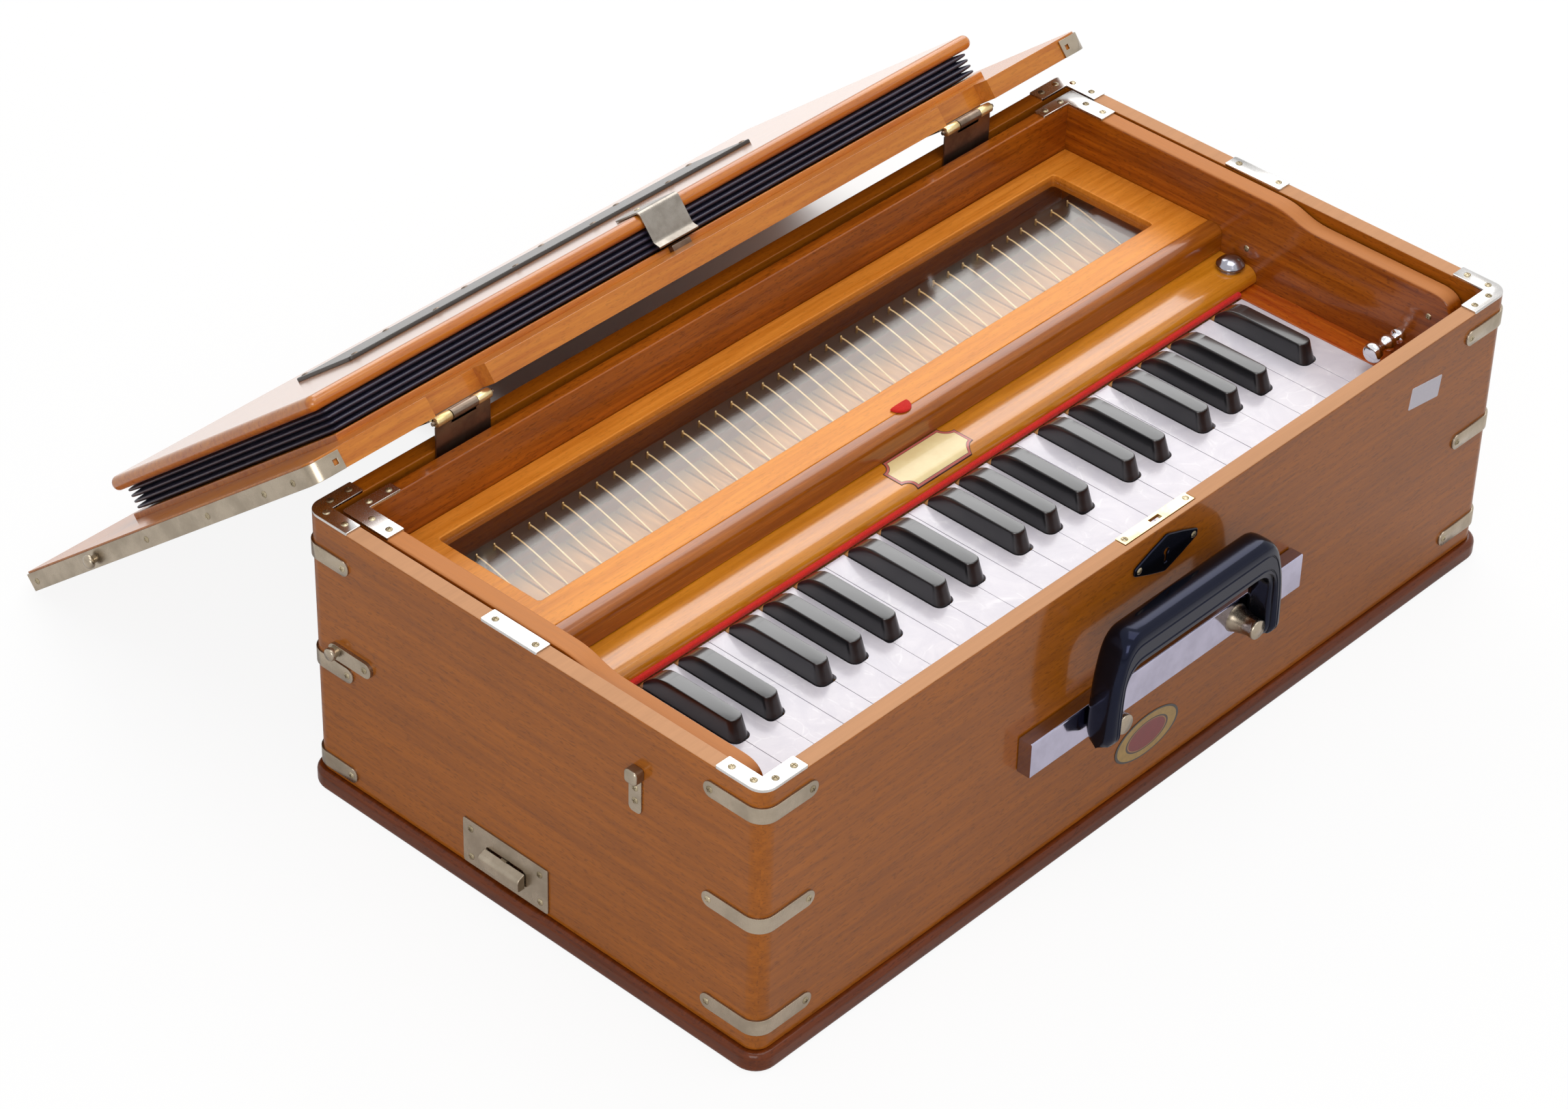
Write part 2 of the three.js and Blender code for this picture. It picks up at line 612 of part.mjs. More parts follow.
function caseWalls() {
  const inner = rectangle([WALL, CASE_W - WALL], [WALL, CASE_D - WALL]);
  const frame = (grow, z) => {
    const shape = caseOutline(grow);
    shape.holes.push(inner);
    return drawn(shape, "z", z);
  };
  const box = frame(0, [BASE_T + FIT, CASE_TOP_Z]);

  // Flat plates on the upper edge, cut from the edge's own outline.
  const edge = frame(0, [CASE_TOP_Z - LAP, CASE_TOP_Z + PLATE_T]);
  const tall = [CASE_TOP_Z - OVERRUN, CASE_TOP_Z + OVERRUN];
  const sides = [
    [0, 1],
    [CASE_W, -1],
  ];
  const ends = [
    [0, 1],
    [CASE_D, -1],
  ];
  const plates = sides.flatMap(([x, dirX]) => [
    ...ends.map(([y, dirY]) =>
      common(
        edge,
        block(reach(x, dirX, -OVERRUN, PLATE_LEG), reach(y, dirY, -OVERRUN, PLATE_LEG), tall),
      ),
    ),
    common(
      edge,
      block(
        reach(x, dirX, -OVERRUN, OVERRUN),
        [MID_PLATE_Y, MID_PLATE_Y + MID_PLATE_L],
        tall,
      ),
    ),
  ]);

  const ring = (z) => cut(drawn(caseOutline(PLATE_T), "z", z), drawn(caseOutline(-LAP), "z", z));
  const straps = sides.flatMap(([, dirX]) =>
    ends.flatMap(([, dirY]) =>
      STRAP_SHARES.map((share) => {
        const z = BASE_T + FIT + share * WALL_H;
        return cornerStrap(ring, dirX, dirY, dirY > 0 ? z : z - STRAP_REAR_DROP);
      }),
    ),
  );

  const hookZ1 = HOOK_Z + HOOK_H;
  const hook = join(
    drawn(
      rectangle(
        [HOOK_Y - HOOK_W / 2, HOOK_Y + HOOK_W / 2],
        [HOOK_Z, hookZ1],
        HOOK_W / 3,
      ),
      "x",
      [-LATCH_T, LAP],
    ),
    drawn(
      rectangle(
        [
          HOOK_Y + HOOK_HEAD_SHIFT - HOOK_HEAD / 2,
          HOOK_Y + HOOK_HEAD_SHIFT + HOOK_HEAD / 2,
        ],
        [hookZ1 - HOOK_HEAD / 2, hookZ1 + HOOK_HEAD / 2],
        LATCH_ROUND,
      ),
      "x",
      [-HOOK_HEAD_OUT, LAP],
      LATCH_ROUND / 2,
    ),
  );
  const keeperY1 = CASE_D - KEEPER_REAR;
  const keeper = join(
    drawn(
      slotShape(
        [keeperY1 - KEEPER_L, keeperY1],
        [KEEPER_Z - KEEPER_H / 2, KEEPER_Z + KEEPER_H / 2],
      ),
      "x",
      [-PLATE_T - LATCH_T, LAP],
    ),
    rod(
      KEEPER_PIN_R,
      "x",
      [-PLATE_T - LATCH_T - KEEPER_PIN_OUT, LAP],
      [keeperY1 - KEEPER_H / 2, KEEPER_Z],
      SMALL_ROUND,
    ),
  );

  const latchSlot = drawn(
    slotShape(
      [LATCH_MIDDLE_Y - LATCH_SLOT_L / 2, LATCH_MIDDLE_Y + LATCH_SLOT_L / 2],
      [LATCH_SLOT_MIDDLE_Z - LATCH_SLOT_H / 2, LATCH_SLOT_MIDDLE_Z + LATCH_SLOT_H / 2],
    ),
    "x",
    [-OVERRUN, LATCH_SLOT_DEPTH],
  );
  // The lock's strip lies in the front wall's edge and its body in a pocket below.
  const strip = block(
    [LOCK_X - FIT, LOCK_X + LOCK_L + FIT],
    [LOCK_Y - FIT, LOCK_Y + OVERRUN],
    [CASE_TOP_Z - LOCK_T - FIT, CASE_TOP_Z + OVERRUN],
  );
  const pocket = block(
    [LOCK_X + LOCK_BODY_INSET - FIT, LOCK_X + LOCK_L - LOCK_BODY_INSET + FIT],
    [LOCK_Y - FIT, LOCK_Y + OVERRUN],
    [CASE_TOP_Z - LOCK_BODY_H - FIT, CASE_TOP_Z + OVERRUN],
  );
  return cut(
    join(box, plates, straps, slideLatchPlate(), hook, keeper),
    latchSlot,
    strip,
    pocket,
  );
}

function latchTab() {
  const out = -LATCH_T - FIT;
  const slotTop = LATCH_SLOT_MIDDLE_Z + LATCH_SLOT_H / 2 - FIT;
  const slotLow = LATCH_SLOT_MIDDLE_Z - LATCH_SLOT_H / 2 + FIT;
  const middle = (slotTop + slotLow) / 2;
  return join(
    drawn(
      outline([
        [out - TAB_OUT, middle - TAB_H, TAB_ROUND],
        [out, middle - TAB_H],
        [out, middle],
        [out - TAB_OUT, middle, TAB_ROUND],
      ]),
      "y",
      [LATCH_MIDDLE_Y - TAB_L / 2, LATCH_MIDDLE_Y + TAB_L / 2],
    ),
    block(
      [out - LAP, TONGUE_REACH],
      [LATCH_MIDDLE_Y - TONGUE_L / 2, LATCH_MIDDLE_Y + TONGUE_L / 2],
      [slotLow, slotTop],
    ),
  );
}

function lockPlate() {
  const y = [LOCK_Y, LOCK_Y + LOCK_W];
  const middle = LOCK_X + LOCK_L / 2;
  return cut(
    join(
      block([LOCK_X, LOCK_X + LOCK_L], y, [CASE_TOP_Z - LOCK_T, CASE_TOP_Z]),
      block(
        [LOCK_X + LOCK_BODY_INSET, LOCK_X + LOCK_L - LOCK_BODY_INSET],
        y,
        [CASE_TOP_Z - LOCK_BODY_H, CASE_TOP_Z],
      ),
    ),
    block(
      [middle - LOCK_SLOT_L / 2, middle + LOCK_SLOT_L / 2],
      [LOCK_Y + LOCK_W / 2 - LOCK_SLOT_W / 2, LOCK_Y + LOCK_W / 2 + LOCK_SLOT_W / 2],
      [CASE_TOP_Z - LOCK_SLOT_DEPTH, CASE_TOP_Z + OVERRUN],
    ),
  );
}

// A pointed escutcheon with a blunt middle and drawn-out tips.
function lockEscutcheon() {
  const x = LOCK_X + LOCK_L / 2 + ESCUTCHEON_EDGE;
  const z = CASE_TOP_Z - ESCUTCHEON_DROP;
  const half = ESCUTCHEON_W / 2;
  const tip = 2 * ESCUTCHEON_EDGE;
  const corners = [
    [x - half, z - tip],
    [x - ESCUTCHEON_SHOULDER, z - ESCUTCHEON_WAIST, ESCUTCHEON_WAIST],
    [x, z - ESCUTCHEON_H / 2, tip],
    [x + ESCUTCHEON_SHOULDER, z - ESCUTCHEON_WAIST, ESCUTCHEON_WAIST],
    [x + half, z - tip],
    [x + half, z + tip],
    [x + ESCUTCHEON_SHOULDER, z + ESCUTCHEON_WAIST, ESCUTCHEON_WAIST],
    [x, z + ESCUTCHEON_H / 2, tip],
    [x - ESCUTCHEON_SHOULDER, z + ESCUTCHEON_WAIST, ESCUTCHEON_WAIST],
    [x - half, z + tip],
  ];
  const y = [-FIT - ESCUTCHEON_T, -FIT];
  return cut(
    drawn(outline(corners), "y", y, ESCUTCHEON_EDGE),
    rod(KEYHOLE_R, "y", [-OVERRUN, OVERRUN], [x, z + KEYHOLE_R / 2], SMALL_ROUND),
    block(
      [x - KEYHOLE_SLOT_W / 2, x + KEYHOLE_SLOT_W / 2],
      [-OVERRUN, OVERRUN],
      [z - KEYHOLE_SLOT_L, z],
    ),
  );
}

// ---------------------------------------------------------------- handle
const PIVOT_AT_Z = BAR_Z + BAR_H / 2;
const LEG_INSIDE = POST_REACH + POST_R + FIT; // from the handle's middle

function handleBar() {
  const bar = drawn(
    rectangle([-FIT - BAR_T, -FIT], [BAR_Z, BAR_Z + BAR_H], BAR_ROUND),
    "x",
    [HANDLE_X - BAR_L / 2, HANDLE_X + BAR_L / 2],
  );
  const posts = [-1, 1].flatMap((side) => {
    const x = HANDLE_X + side * POST_REACH;
    return [
      rod(POST_R, "y", [-PIVOT_OUT - POST_PAST_PIVOT, -FIT - LAP], [x, PIVOT_AT_Z]),
      rod(
        PIVOT_R,
        "x",
        reach(x, side, 0, POST_R + PIVOT_REACH),
        [-PIVOT_OUT, PIVOT_AT_Z],
        SMALL_ROUND,
      ),
    ];
  });
  return join(bar, posts);
}

// A moulded U that turns on the two posts' pins.
function handleGrip() {
  const foot = LEG_INSIDE + GRIP_LEG_T;
  const [low, knee, top] = [-GRIP_FOOT_R, GRIP_KNEE, GRIP_H];
  const half = (side) => [
    [side * foot, low],
    [side * (foot - GRIP_KNEE_INSET), knee, GRIP_SHOULDER],
    [side * (foot - GRIP_TOP_INSET), top, GRIP_SHOULDER],
  ];
  const [outerLow, outerKnee, outerTop] = half(1);
  const [leftLow, leftKnee, leftTop] = half(-1);
  const beamLow = top - GRIP_BEAM_H;
  const shape = outline([
    outerLow,
    outerKnee,
    outerTop,
    leftTop,
    leftKnee,
    leftLow,
    [-LEG_INSIDE, low],
    [-LEG_INSIDE, beamLow, GRIP_THUMB],
    [LEG_INSIDE, beamLow, GRIP_THUMB],
    [LEG_INSIDE, low],
  ]);
  const moulded = drawn(shape, "y", [-GRIP_FOOT_R, GRIP_FOOT_R], GRIP_ROUND);
  // The feet are turned round the pins' axis.
  const round = join(
    rod(GRIP_FOOT_R, "x", [-foot, foot], [0, 0]),
    block([-foot, foot], [-GRIP_FOOT_R, GRIP_FOOT_R], [0, GRIP_H]),
  );
  const bore = rod(
    PIVOT_R + FIT,
    "x",
    [-LEG_INSIDE - PIVOT_REACH, LEG_INSIDE + PIVOT_REACH],
    [0, 0],
    SMALL_ROUND,
  );
  return cut(common(moulded, round), bore);
}

// ---------------------------------------------------------------- hinges
const knuckleSpan = (x, i, j) => [
  x + HINGE_L * KNUCKLE_SHARES[i] + (i ? FIT / 2 : 0),
  x + HINGE_L * KNUCKLE_SHARES[j] - (j < 3 ? FIT / 2 : 0),
];

// The case's leaf with the middle knuckle and the pin.
function hingeLeaf(x) {
  const face = CASE_D - WALL - FIT;
  const y = [face - LEAF_T, face];
  const middle = knuckleSpan(x, 1, 2);
  return join(
    block([x, x + HINGE_L], y, [CASE_TOP_Z - LEAF_DOWN, HINGE_Z - KNUCKLE_R - FIT]),
    block(middle, y, [HINGE_Z - KNUCKLE_R - 2 * FIT, HINGE_Z]),
    rod(KNUCKLE_R, "x", middle, [HINGE_Y, HINGE_Z]),
    rod(PIN_R, "x", [x - PIN_PAST, x + HINGE_L + PIN_PAST], [HINGE_Y, HINGE_Z], SMALL_ROUND),
  );
}

// The lid's leaf with the two outer knuckles, in the lid's own frame.
function lidLeaf(x) {
  const b = [KNUCKLE_R - LID_LEAF_T, KNUCKLE_R];
  const ends = [knuckleSpan(x, 0, 1), knuckleSpan(x, 2, 3)];
  const clear = KNUCKLE_R + 2 * FIT;
  const notchEnd = NOTCH_DEPTH - LID_NEAR;
  return cut(
    join(
      block([x, x + HINGE_L], [clear, LID_LEAF_L], b),
      block([x, x + HINGE_L], [notchEnd + FIT, LID_LEAF_L], [b[0], LID_RISE + LAP]),
      ends.map((span) => block(span, [0, clear + LAP], b)),
      ends.map((span) => rod(KNUCKLE_R, "x", span, [0, 0])),
    ),
    rod(PIN_R + FIT, "x", [x - OVERRUN, x + HINGE_L + OVERRUN], [0, 0], SMALL_ROUND),
  );
}

// ---------------------------------------------------------------- lid and bellows
const lidOutline = (grow) =>
  outline([
    [LID_X0 - grow, -LID_NEAR - grow, LID_CORNER_R],
    [LID_X1 + grow, -LID_NEAR - grow, LID_CORNER_R],
    [LID_X1 + grow, LID_FAR],
    [LID_X0 - grow, LID_FAR],
  ]);

const boardSpanX = [BELLOWS_X - BOARD_OUT, BELLOWS_X + BELLOWS_W + BOARD_OUT];
const boardSpanA = [BELLOWS_A, BELLOWS_A + BELLOWS_L];

function lidPanel() {
  const section = outline([
    [-LID_NEAR, LID_RISE],
    [LID_FAR, LID_RISE],
    [LID_FAR, LID_INSIDE],
    [-LID_NEAR, LID_INSIDE, LID_ARRIS],
  ]);
  const board = common(
    drawn(section, "x", [LID_X0 - LAP, LID_X1 + LAP]),
    drawn(lidOutline(0), "z", [LID_RISE - LAP, LID_INSIDE + LAP]),
  );
  const notches = [HINGE_LEFT_X, HINGE_RIGHT_X].map((x) =>
    block(
      [x - NOTCH_PLAY, x + HINGE_L + NOTCH_PLAY],
      [-LID_NEAR - OVERRUN, NOTCH_DEPTH - LID_NEAR],
      [LID_RISE - OVERRUN, LID_INSIDE + OVERRUN],
    ),
  );
  const ply = block([BELLOWS_X, BELLOWS_X + BELLOWS_W], boardSpanA, [
    LID_INSIDE - LAP,
    LID_INSIDE + BELLOWS_PLY_T,
  ]);
  const clipMiddle = CLIP_X + CLIP_W / 2;
  const catchBar = block(
    [clipMiddle - CATCH_W / 2, clipMiddle + CATCH_W / 2],
    [BELLOWS_A - CATCH_L, BELLOWS_A],
    [LID_INSIDE - LAP, LID_INSIDE + CATCH_H],
  );
  return join(
    cut(board, notches),
    ply,
    catchBar,
    lidLeaf(HINGE_LEFT_X),
    lidLeaf(HINGE_RIGHT_X),
  );
}

// A nickel strip down one side of the lid, turned round the near corner, with its pin.
function lidStrip(side) {
  const b = [LID_RISE, LID_RISE + STRIP_W];
  const skin = cut(
    drawn(lidOutline(FIT + STRIP_T), "z", b),
    drawn(lidOutline(FIT), "z", [b[0] - OVERRUN, b[1] + OVERRUN]),
  );
  const edge = side < 0 ? LID_X0 : LID_X1;
  const inward = -side;
  const outer = edge + side * (FIT + STRIP_T);
  const region = block(
    reach(edge, inward, -OVERRUN, STRIP_RETURN + LID_OVERLAP),
    [-OVERRUN, LID_FAR + OVERRUN],
    [b[0] - OVERRUN, b[1] + OVERRUN],
  );
  const holeX = edge + inward * (STRIP_HOLE_X + LID_OVERLAP);
  const middle = (b[0] + b[1]) / 2;
  const hole = block(
    [holeX - STRIP_HOLE / 2, holeX + STRIP_HOLE / 2],
    [-LID_NEAR - OVERRUN, -LID_NEAR],
    [middle - STRIP_HOLE / 2, middle + STRIP_HOLE / 2],
  );
  const face = edge + side * FIT;
  const neck = rod(
    PIN_KNOB_NECK_R,
    "x",
    reach(face, side, 0, STRIP_T + PIN_KNOB_NECK + LAP),
    [PIN_KNOB_A, middle],
    SMALL_ROUND,
  );
  const head = rod(
    PIN_KNOB_R,
    "x",
    reach(outer, side, PIN_KNOB_NECK, PIN_KNOB_OUT),
    [PIN_KNOB_A, middle],
    SMALL_ROUND,
  );
  return join(cut(common(skin, region), hole), neck, head);
}

// Cloth folds drawn as stacked rings that step out and in again.
function bellowsFolds() {
  const ring = (inset, b) => {
    const x0 = BELLOWS_X + FOLDS_INSET + inset;
    const x1 = BELLOWS_X + BELLOWS_W - FOLDS_INSET - inset;
    const a0 = BELLOWS_A + FOLDS_INSET + inset;
    const a1 = BELLOWS_A + BELLOWS_L - FOLDS_INSET - inset;
    const c = FOLD_DEPTH;
    return [
      [x0 + c, a0, b],
      [x1 - c, a0, b],
      [x1, a0 + c, b],
      [x1, a1 - c, b],
      [x1 - c, a1, b],
      [x0 + c, a1, b],
      [x0, a1 - c, b],
      [x0, a0 + c, b],
    ];
  };
  const pitch = FOLDS_H / FOLD_COUNT;
  const rings = [ring(FOLD_DEPTH, FOLDS_B)];
  for (let i = 0; i < FOLD_COUNT; i++) {
    const b = FOLDS_B + i * pitch;
    rings.push(ring(0, b + pitch * (0.5 - FOLD_EDGE_SHARE)));
    rings.push(ring(0, b + pitch * (0.5 + FOLD_EDGE_SHARE)));
    rings.push(ring(FOLD_DEPTH, b + pitch));
  }
  return lofted(rings);
}

function bellowsBoard() {
  const board = drawn(
    rectangle(boardSpanX, boardSpanA, BOARD_CORNER),
    "z",
    [BOARD_B, BOARD_B + BOARD_T],
    BOARD_ROUND,
  );
  const flap = drawn(
    rectangle([FLAP_X, FLAP_X + FLAP_W], [FLAP_A, FLAP_A + FLAP_L], FLAP_ROUND),
    "z",
    [BOARD_B + BOARD_T - LAP, BOARD_B + BOARD_T + FLAP_T],
  );
  return join(board, flap);
}

// A steel clip over the board's near edge, with a half-round tongue.
function bellowsClip() {
  const over = BOARD_B + BOARD_T + FIT;
  const near = BELLOWS_A - FIT;
  const low = LID_INSIDE + CATCH_H + CLIP_TAIL;
  const end = near - CLIP_T + CLIP_REACH;
  const section = outline([
    [near - CLIP_T, low],
    [near, low],
    [near, over, CLIP_BEND - CLIP_T],
    [end, over],
    [end, over + CLIP_T],
    [near - CLIP_T, over + CLIP_T, CLIP_BEND],
  ]);
  const tongue = new THREE.Shape();
  const r = CLIP_W / 2;
  tongue.moveTo(CLIP_X, near - OVERRUN);
  tongue.lineTo(CLIP_X + CLIP_W, near - OVERRUN);
  tongue.absarc(CLIP_X + r, end - r, r, 0, Math.PI, false);
  return common(
    drawn(section, "x", [CLIP_X - LAP, CLIP_X + CLIP_W + LAP]),
    drawn(tongue, "z", [low - OVERRUN, over + OVERRUN]),
  );
}

// ---------------------------------------------------------------- inner body
// A cheek's side view: level at the rear, swept down to a lower front with a round nose.
function cheekShape() {
  const [y0, y1] = [BODY_Y0, BODY_Y1];
  const [low, high] = [BODY_BOTTOM_Z, BODY_TOP_Z];
  const dip = high - CHEEK_DIP;
  const bend = y1 - CHEEK_REAR_L;
  const shape = new THREE.Shape();
  shape.moveTo(y0, low);
  shape.lineTo(y1, low);
  shape.lineTo(y1, high);
  shape.lineTo(bend, high);
  shape.bezierCurveTo(
    bend - CHEEK_SWEEP / 2,
    high,
    bend - CHEEK_SWEEP / 2,
    dip,
    bend - CHEEK_SWEEP,
    dip,
  );
  shape.lineTo(y0 + CHEEK_NOSE, dip);
  shape.quadraticCurveTo(y0, dip, y0, dip - CHEEK_NOSE);
  return shape;
}

function innerBody() {
  const cheek = (x) => drawn(cheekShape(), "x", [x, x + CHEEK_T], CHEEK_ARRIS);
  const across = [BODY_X0 + CHEEK_T / 2, BODY_X1 - CHEEK_T / 2];
  const rear = block(across, [WELL_Y1, BODY_Y1], [BODY_BOTTOM_Z, BODY_TOP_Z]);
  const front = block(
    across,
    [BODY_Y0 + CHEEK_ARRIS, BODY_Y0 + FRONT_T],
    [BODY_BOTTOM_Z, BODY_TOP_Z - FRONT_DROP],
  );
  const keybed = block(across, [BODY_Y0 + FRONT_T - LAP, WELL_Y1 + LAP], [
    KEYBED_TOP_Z - KEYBED_T,
    KEYBED_TOP_Z,
  ]);
  const balance = block(
    across,
    [PIVOT_Y - BALANCE_W / 2, PIVOT_Y + BALANCE_W / 2],
    [KEYBED_TOP_Z - LAP, KEY_BOTTOM_Z - FIT],
  );
  const endBlock = (x) =>
    block(x, [BODY_Y0 + FRONT_T - LAP, COVER_Y0 + COVER_D], [KEYBED_TOP_Z - LAP, KEY_TOP_Z]);

  // L plates at the rear corners, as wide as the pieces under them.
  const z = [BODY_TOP_Z - LAP, BODY_TOP_Z + PLATE_T];
  const cornerPlate = (x, dir) =>
    join(
      block(reach(x, dir, 0, CORNER_PLATE_LEG), [WELL_Y1, BODY_Y1], z),
      block(reach(x, dir, 0, CHEEK_T), [BODY_Y1 - CORNER_PLATE_LEG, BODY_Y1], z),
    );
  const pull = turned(
    PULL_SHARES.map(([along, radius]) => [along * PULL_L, radius * PULL_R]),
    "x",
    [WELL_X1 - PULL_L, BODY_Y0 + PULL_Y, KEY_TOP_Z + PULL_RISE],
    KNOB_ROUND,
  );
  return join(
    cheek(BODY_X0),
    cheek(WELL_X1),
    rear,
    front,
    keybed,
    balance,
    endBlock([BODY_X0 + CHEEK_T / 2, WELL_X0 + LEFT_BLOCK_W]),
    endBlock([WELL_X1 - RIGHT_BLOCK_W, BODY_X1 - CHEEK_T / 2]),
    cornerPlate(BODY_X0, 1),
    cornerPlate(BODY_X1, -1),
    pull,
  );
}

const wellSpan = [WELL_X0 + FIT, WELL_X1 - FIT];

function feltStrip() {
  return block(
    [wellSpan[0], KEYS_X1],
    [FELT_Y0, FELT_Y0 + FELT_W],
    [KEY_TOP_Z + FIT, KEY_TOP_Z + FIT + FELT_H],
  );
}

// The rail that hides the keys' joints: a round nose in front and a domed knob at the right.
function keyCover() {
  const [y0, y1] = [COVER_Y0, COVER_Y0 + COVER_D];
  const low = KEY_TOP_Z + FIT;
  const rail = drawn(
    outline([
      [y0, low, COVER_ARRIS],
      [y1, low],
      [y1, COVER_TOP_Z],
      [y0, COVER_TOP_Z, COVER_NOSE],
    ]),
    "x",
    wellSpan,
  );
  const knob = turned(
    COVER_KNOB_SHARES.map(([radius, along]) => [along * COVER_KNOB_H, radius * COVER_KNOB_R]),
    "z",
    [wellSpan[1] - COVER_KNOB_INSET, y0 + COVER_KNOB_Y, COVER_TOP_Z],
    KNOB_ROUND,
  );
  return join(rail, knob);
}

// The deck round the window, with the rounded moulding that falls to the key cover.
function deckBoard() {
  const seatEnd = MOULDING_Y0 + MOULDING_SEAT_D;
  const seat = COVER_TOP_Z + FIT;
  const board = drawn(
    outline([
      [MOULDING_Y0, seat],
      [seatEnd, seat],
      [seatEnd, DECK_BOTTOM_Z],
      [DECK_Y1, DECK_BOTTOM_Z],
      [DECK_Y1, DECK_TOP_Z],
      [MOULDING_Y0, DECK_TOP_Z, MOULDING_ROUND],
    ]),
    "x",
    wellSpan,
  );
  const window = drawn(
    rectangle([WINDOW_X0, WINDOW_X1], [WINDOW_Y0, WINDOW_Y1], WINDOW_CORNER),
    "z",
    [DECK_BOTTOM_Z - OVERRUN, DECK_TOP_Z + OVERRUN],
    0,
    2,
  );
  return cut(board, window);
}

function windowGlass() {
  return block(
    [WINDOW_X0 - GLASS_LAP, WINDOW_X1 + GLASS_LAP],
    [WINDOW_Y0 - GLASS_LAP, WINDOW_Y1 + GLASS_LAP],
    [GLASS_BOTTOM_Z, GLASS_BOTTOM_Z + GLASS_T],
  );
}

// ---------------------------------------------------------------- keys
// Each key's place: white or black, the stretch of its tail, and for a white its head.
const keys = [];
for (let i = 0; i < WHITE_KEYS; i++) {
  const degree = i % 7;
  const x0 = KEYS_X0 + i * KEY_PITCH;
  const shift = (d) => BLACK_SHIFT_SHARES[d];
  const after = i + 1 < WHITE_KEYS ? shift(degree) : undefined;
  const before = i > 0 ? shift((degree + 6) % 7) : undefined;
  const blackHalf = BLACK_W / 2 + KEY_GAP;
  keys.push({
    black: false,
    head: [x0 + KEY_GAP / 2, x0 + KEY_PITCH - KEY_GAP / 2],
    tail: [
      before === undefined ? x0 + KEY_GAP / 2 : x0 + before * KEY_PITCH + blackHalf,
      after === undefined
        ? x0 + KEY_PITCH - KEY_GAP / 2
        : x0 + (1 + after) * KEY_PITCH - blackHalf,
    ],
  });
  if (after !== undefined) {
    const middle = x0 + (1 + after) * KEY_PITCH;
    keys.push({ black: true, tail: [middle - BLACK_W / 2, middle + BLACK_W / 2] });
  }
}

// The wooden lever behind a key, level to the pivot and a step lower behind it.
const lever = ([x0, x1], from) =>
  drawn(
    outline([
      [from, KEY_BOTTOM_Z],
      [LEVER_Y1, KEY_BOTTOM_Z],
      [LEVER_Y1, LEVER_REAR_Z],
      [PIVOT_Y + LEVER_STEP_BACK, LEVER_REAR_Z],
      [PIVOT_Y + LEVER_STEP_BACK - LEVER_STEP, LEVER_TOP_Z],
      [from, LEVER_TOP_Z],
    ]),
    "x",
    [x0 + LEVER_INSET, x1 - LEVER_INSET],
  );

function whiteKey({ head, tail }) {
  const plan = (inset, front, rear) => {
    const [h0, h1] = [head[0] + inset, head[1] - inset];
    const [t0, t1] = tail;
    const notch = NOTCH_Y - inset;
    const right = t1 < h1 ? [[h1, notch], [t1, notch]] : [];
    const left = t0 > h0 ? [[t0, notch], [h0, notch]] : [];
    return outline([
      [h0, front],
      [h1, front],
      ...right,
      [t1, rear],
      [t0, rear],
      ...left,
    ]);
  };
  const plate = drawn(
    plan(0, KEY_Y0, FELT_Y0 + FELT_W / 2),
    "z",
    [KEY_TOP_Z - WHITE_PLATE_T, KEY_TOP_Z],
    0,
  );
  const body = drawn(
    plan(WHITE_SIDE_INSET, KEY_Y0 + WHITE_LIP, FELT_Y0),
    "z",
    [KEY_BOTTOM_Z, KEY_TOP_Z - WHITE_PLATE_T + LAP],
  );
  return join(plate, body, lever(tail, NOTCH_Y));
}

// A black key: sections along its length, tapered upwards, sloped in front and turned
// down under the felt.
function blackKey({ tail: [x0, x1] }) {
  const middle = (x0 + x1) / 2;
  const start = NOTCH_Y + BLACK_FRONT_GAP;
  const end = FELT_Y0 - FIT;
  const rings = BLACK_STATION_SHARES.map(([place, height, width]) => {
    const y = start + place * (end - start);
    const top = KEY_TOP_Z + height * BLACK_H;
    const rise = top - KEY_BOTTOM_Z;
    const side = KEY_BOTTOM_Z + BLACK_SIDE_SHARE * rise;
    const shoulder = KEY_BOTTOM_Z + BLACK_SHOULDER_SHARE * rise;
    const base = (width * BLACK_W) / 2;
    const upper = (width * BLACK_TOP_W) / 2;
    const inner = upper - (top - shoulder) / 2;
    return [
      [middle - base, y, KEY_BOTTOM_Z],
      [middle - base, y, side],
      [middle - upper, y, shoulder],
      [middle - inner, y, top],
      [middle + inner, y, top],
      [middle + upper, y, shoulder],
      [middle + base, y, side],
      [middle + base, y, KEY_BOTTOM_Z],
    ];
  });
  return join(lofted(rings), lever([x0, x1], end - LAP));
}

// A rail across the body with a brass pin and a steel wire for each key; the wires lean
// forward over the levers.
function springRail() {
  const y1 = WELL_Y1 - RAIL_REAR_GAP;
  const top = GLASS_BOTTOM_Z - RAIL_DROP;
  const rail = block(wellSpan, [y1 - RAIL_D, y1], [top - RAIL_H, top]);
  const pinY = y1 - SPRING_PIN_SETBACK;
  const foot = new THREE.Vector2(PIVOT_Y + SPRING_FOOT_Y, LEVER_REAR_Z + SPRING_CLEAR + SPRING_R);
  const start = new THREE.Vector2(pinY, top + SPRING_RISE);
  const run = foot.clone().sub(start);
  const wires = keys.map(({ tail: [x0, x1] }) => {
    const x = (x0 + x1) / 2;
    const wire = new THREE.CylinderGeometry(SPRING_R, SPRING_R, run.length(), 5);
    // The wire's own axis, +Y, is turned onto the run in the YZ plane.
    wire.rotateX(Math.atan2(run.y, run.x));
    wire.translate(x, (start.x + foot.x) / 2, (start.y + foot.y) / 2);
    return join(
      solid(wire),
      rod(SPRING_PIN_R, "z", [top - LAP, top + SPRING_PIN_H], [x, pinY], 6),
    );
  });
  return join(rail, wires);
}

// ---------------------------------------------------------------- assembly
const harmonium = new THREE.Group();
harmonium.name = "harmonium";
harmonium.position.set(-CASE_W / 2, -CASE_D / 2, 0);

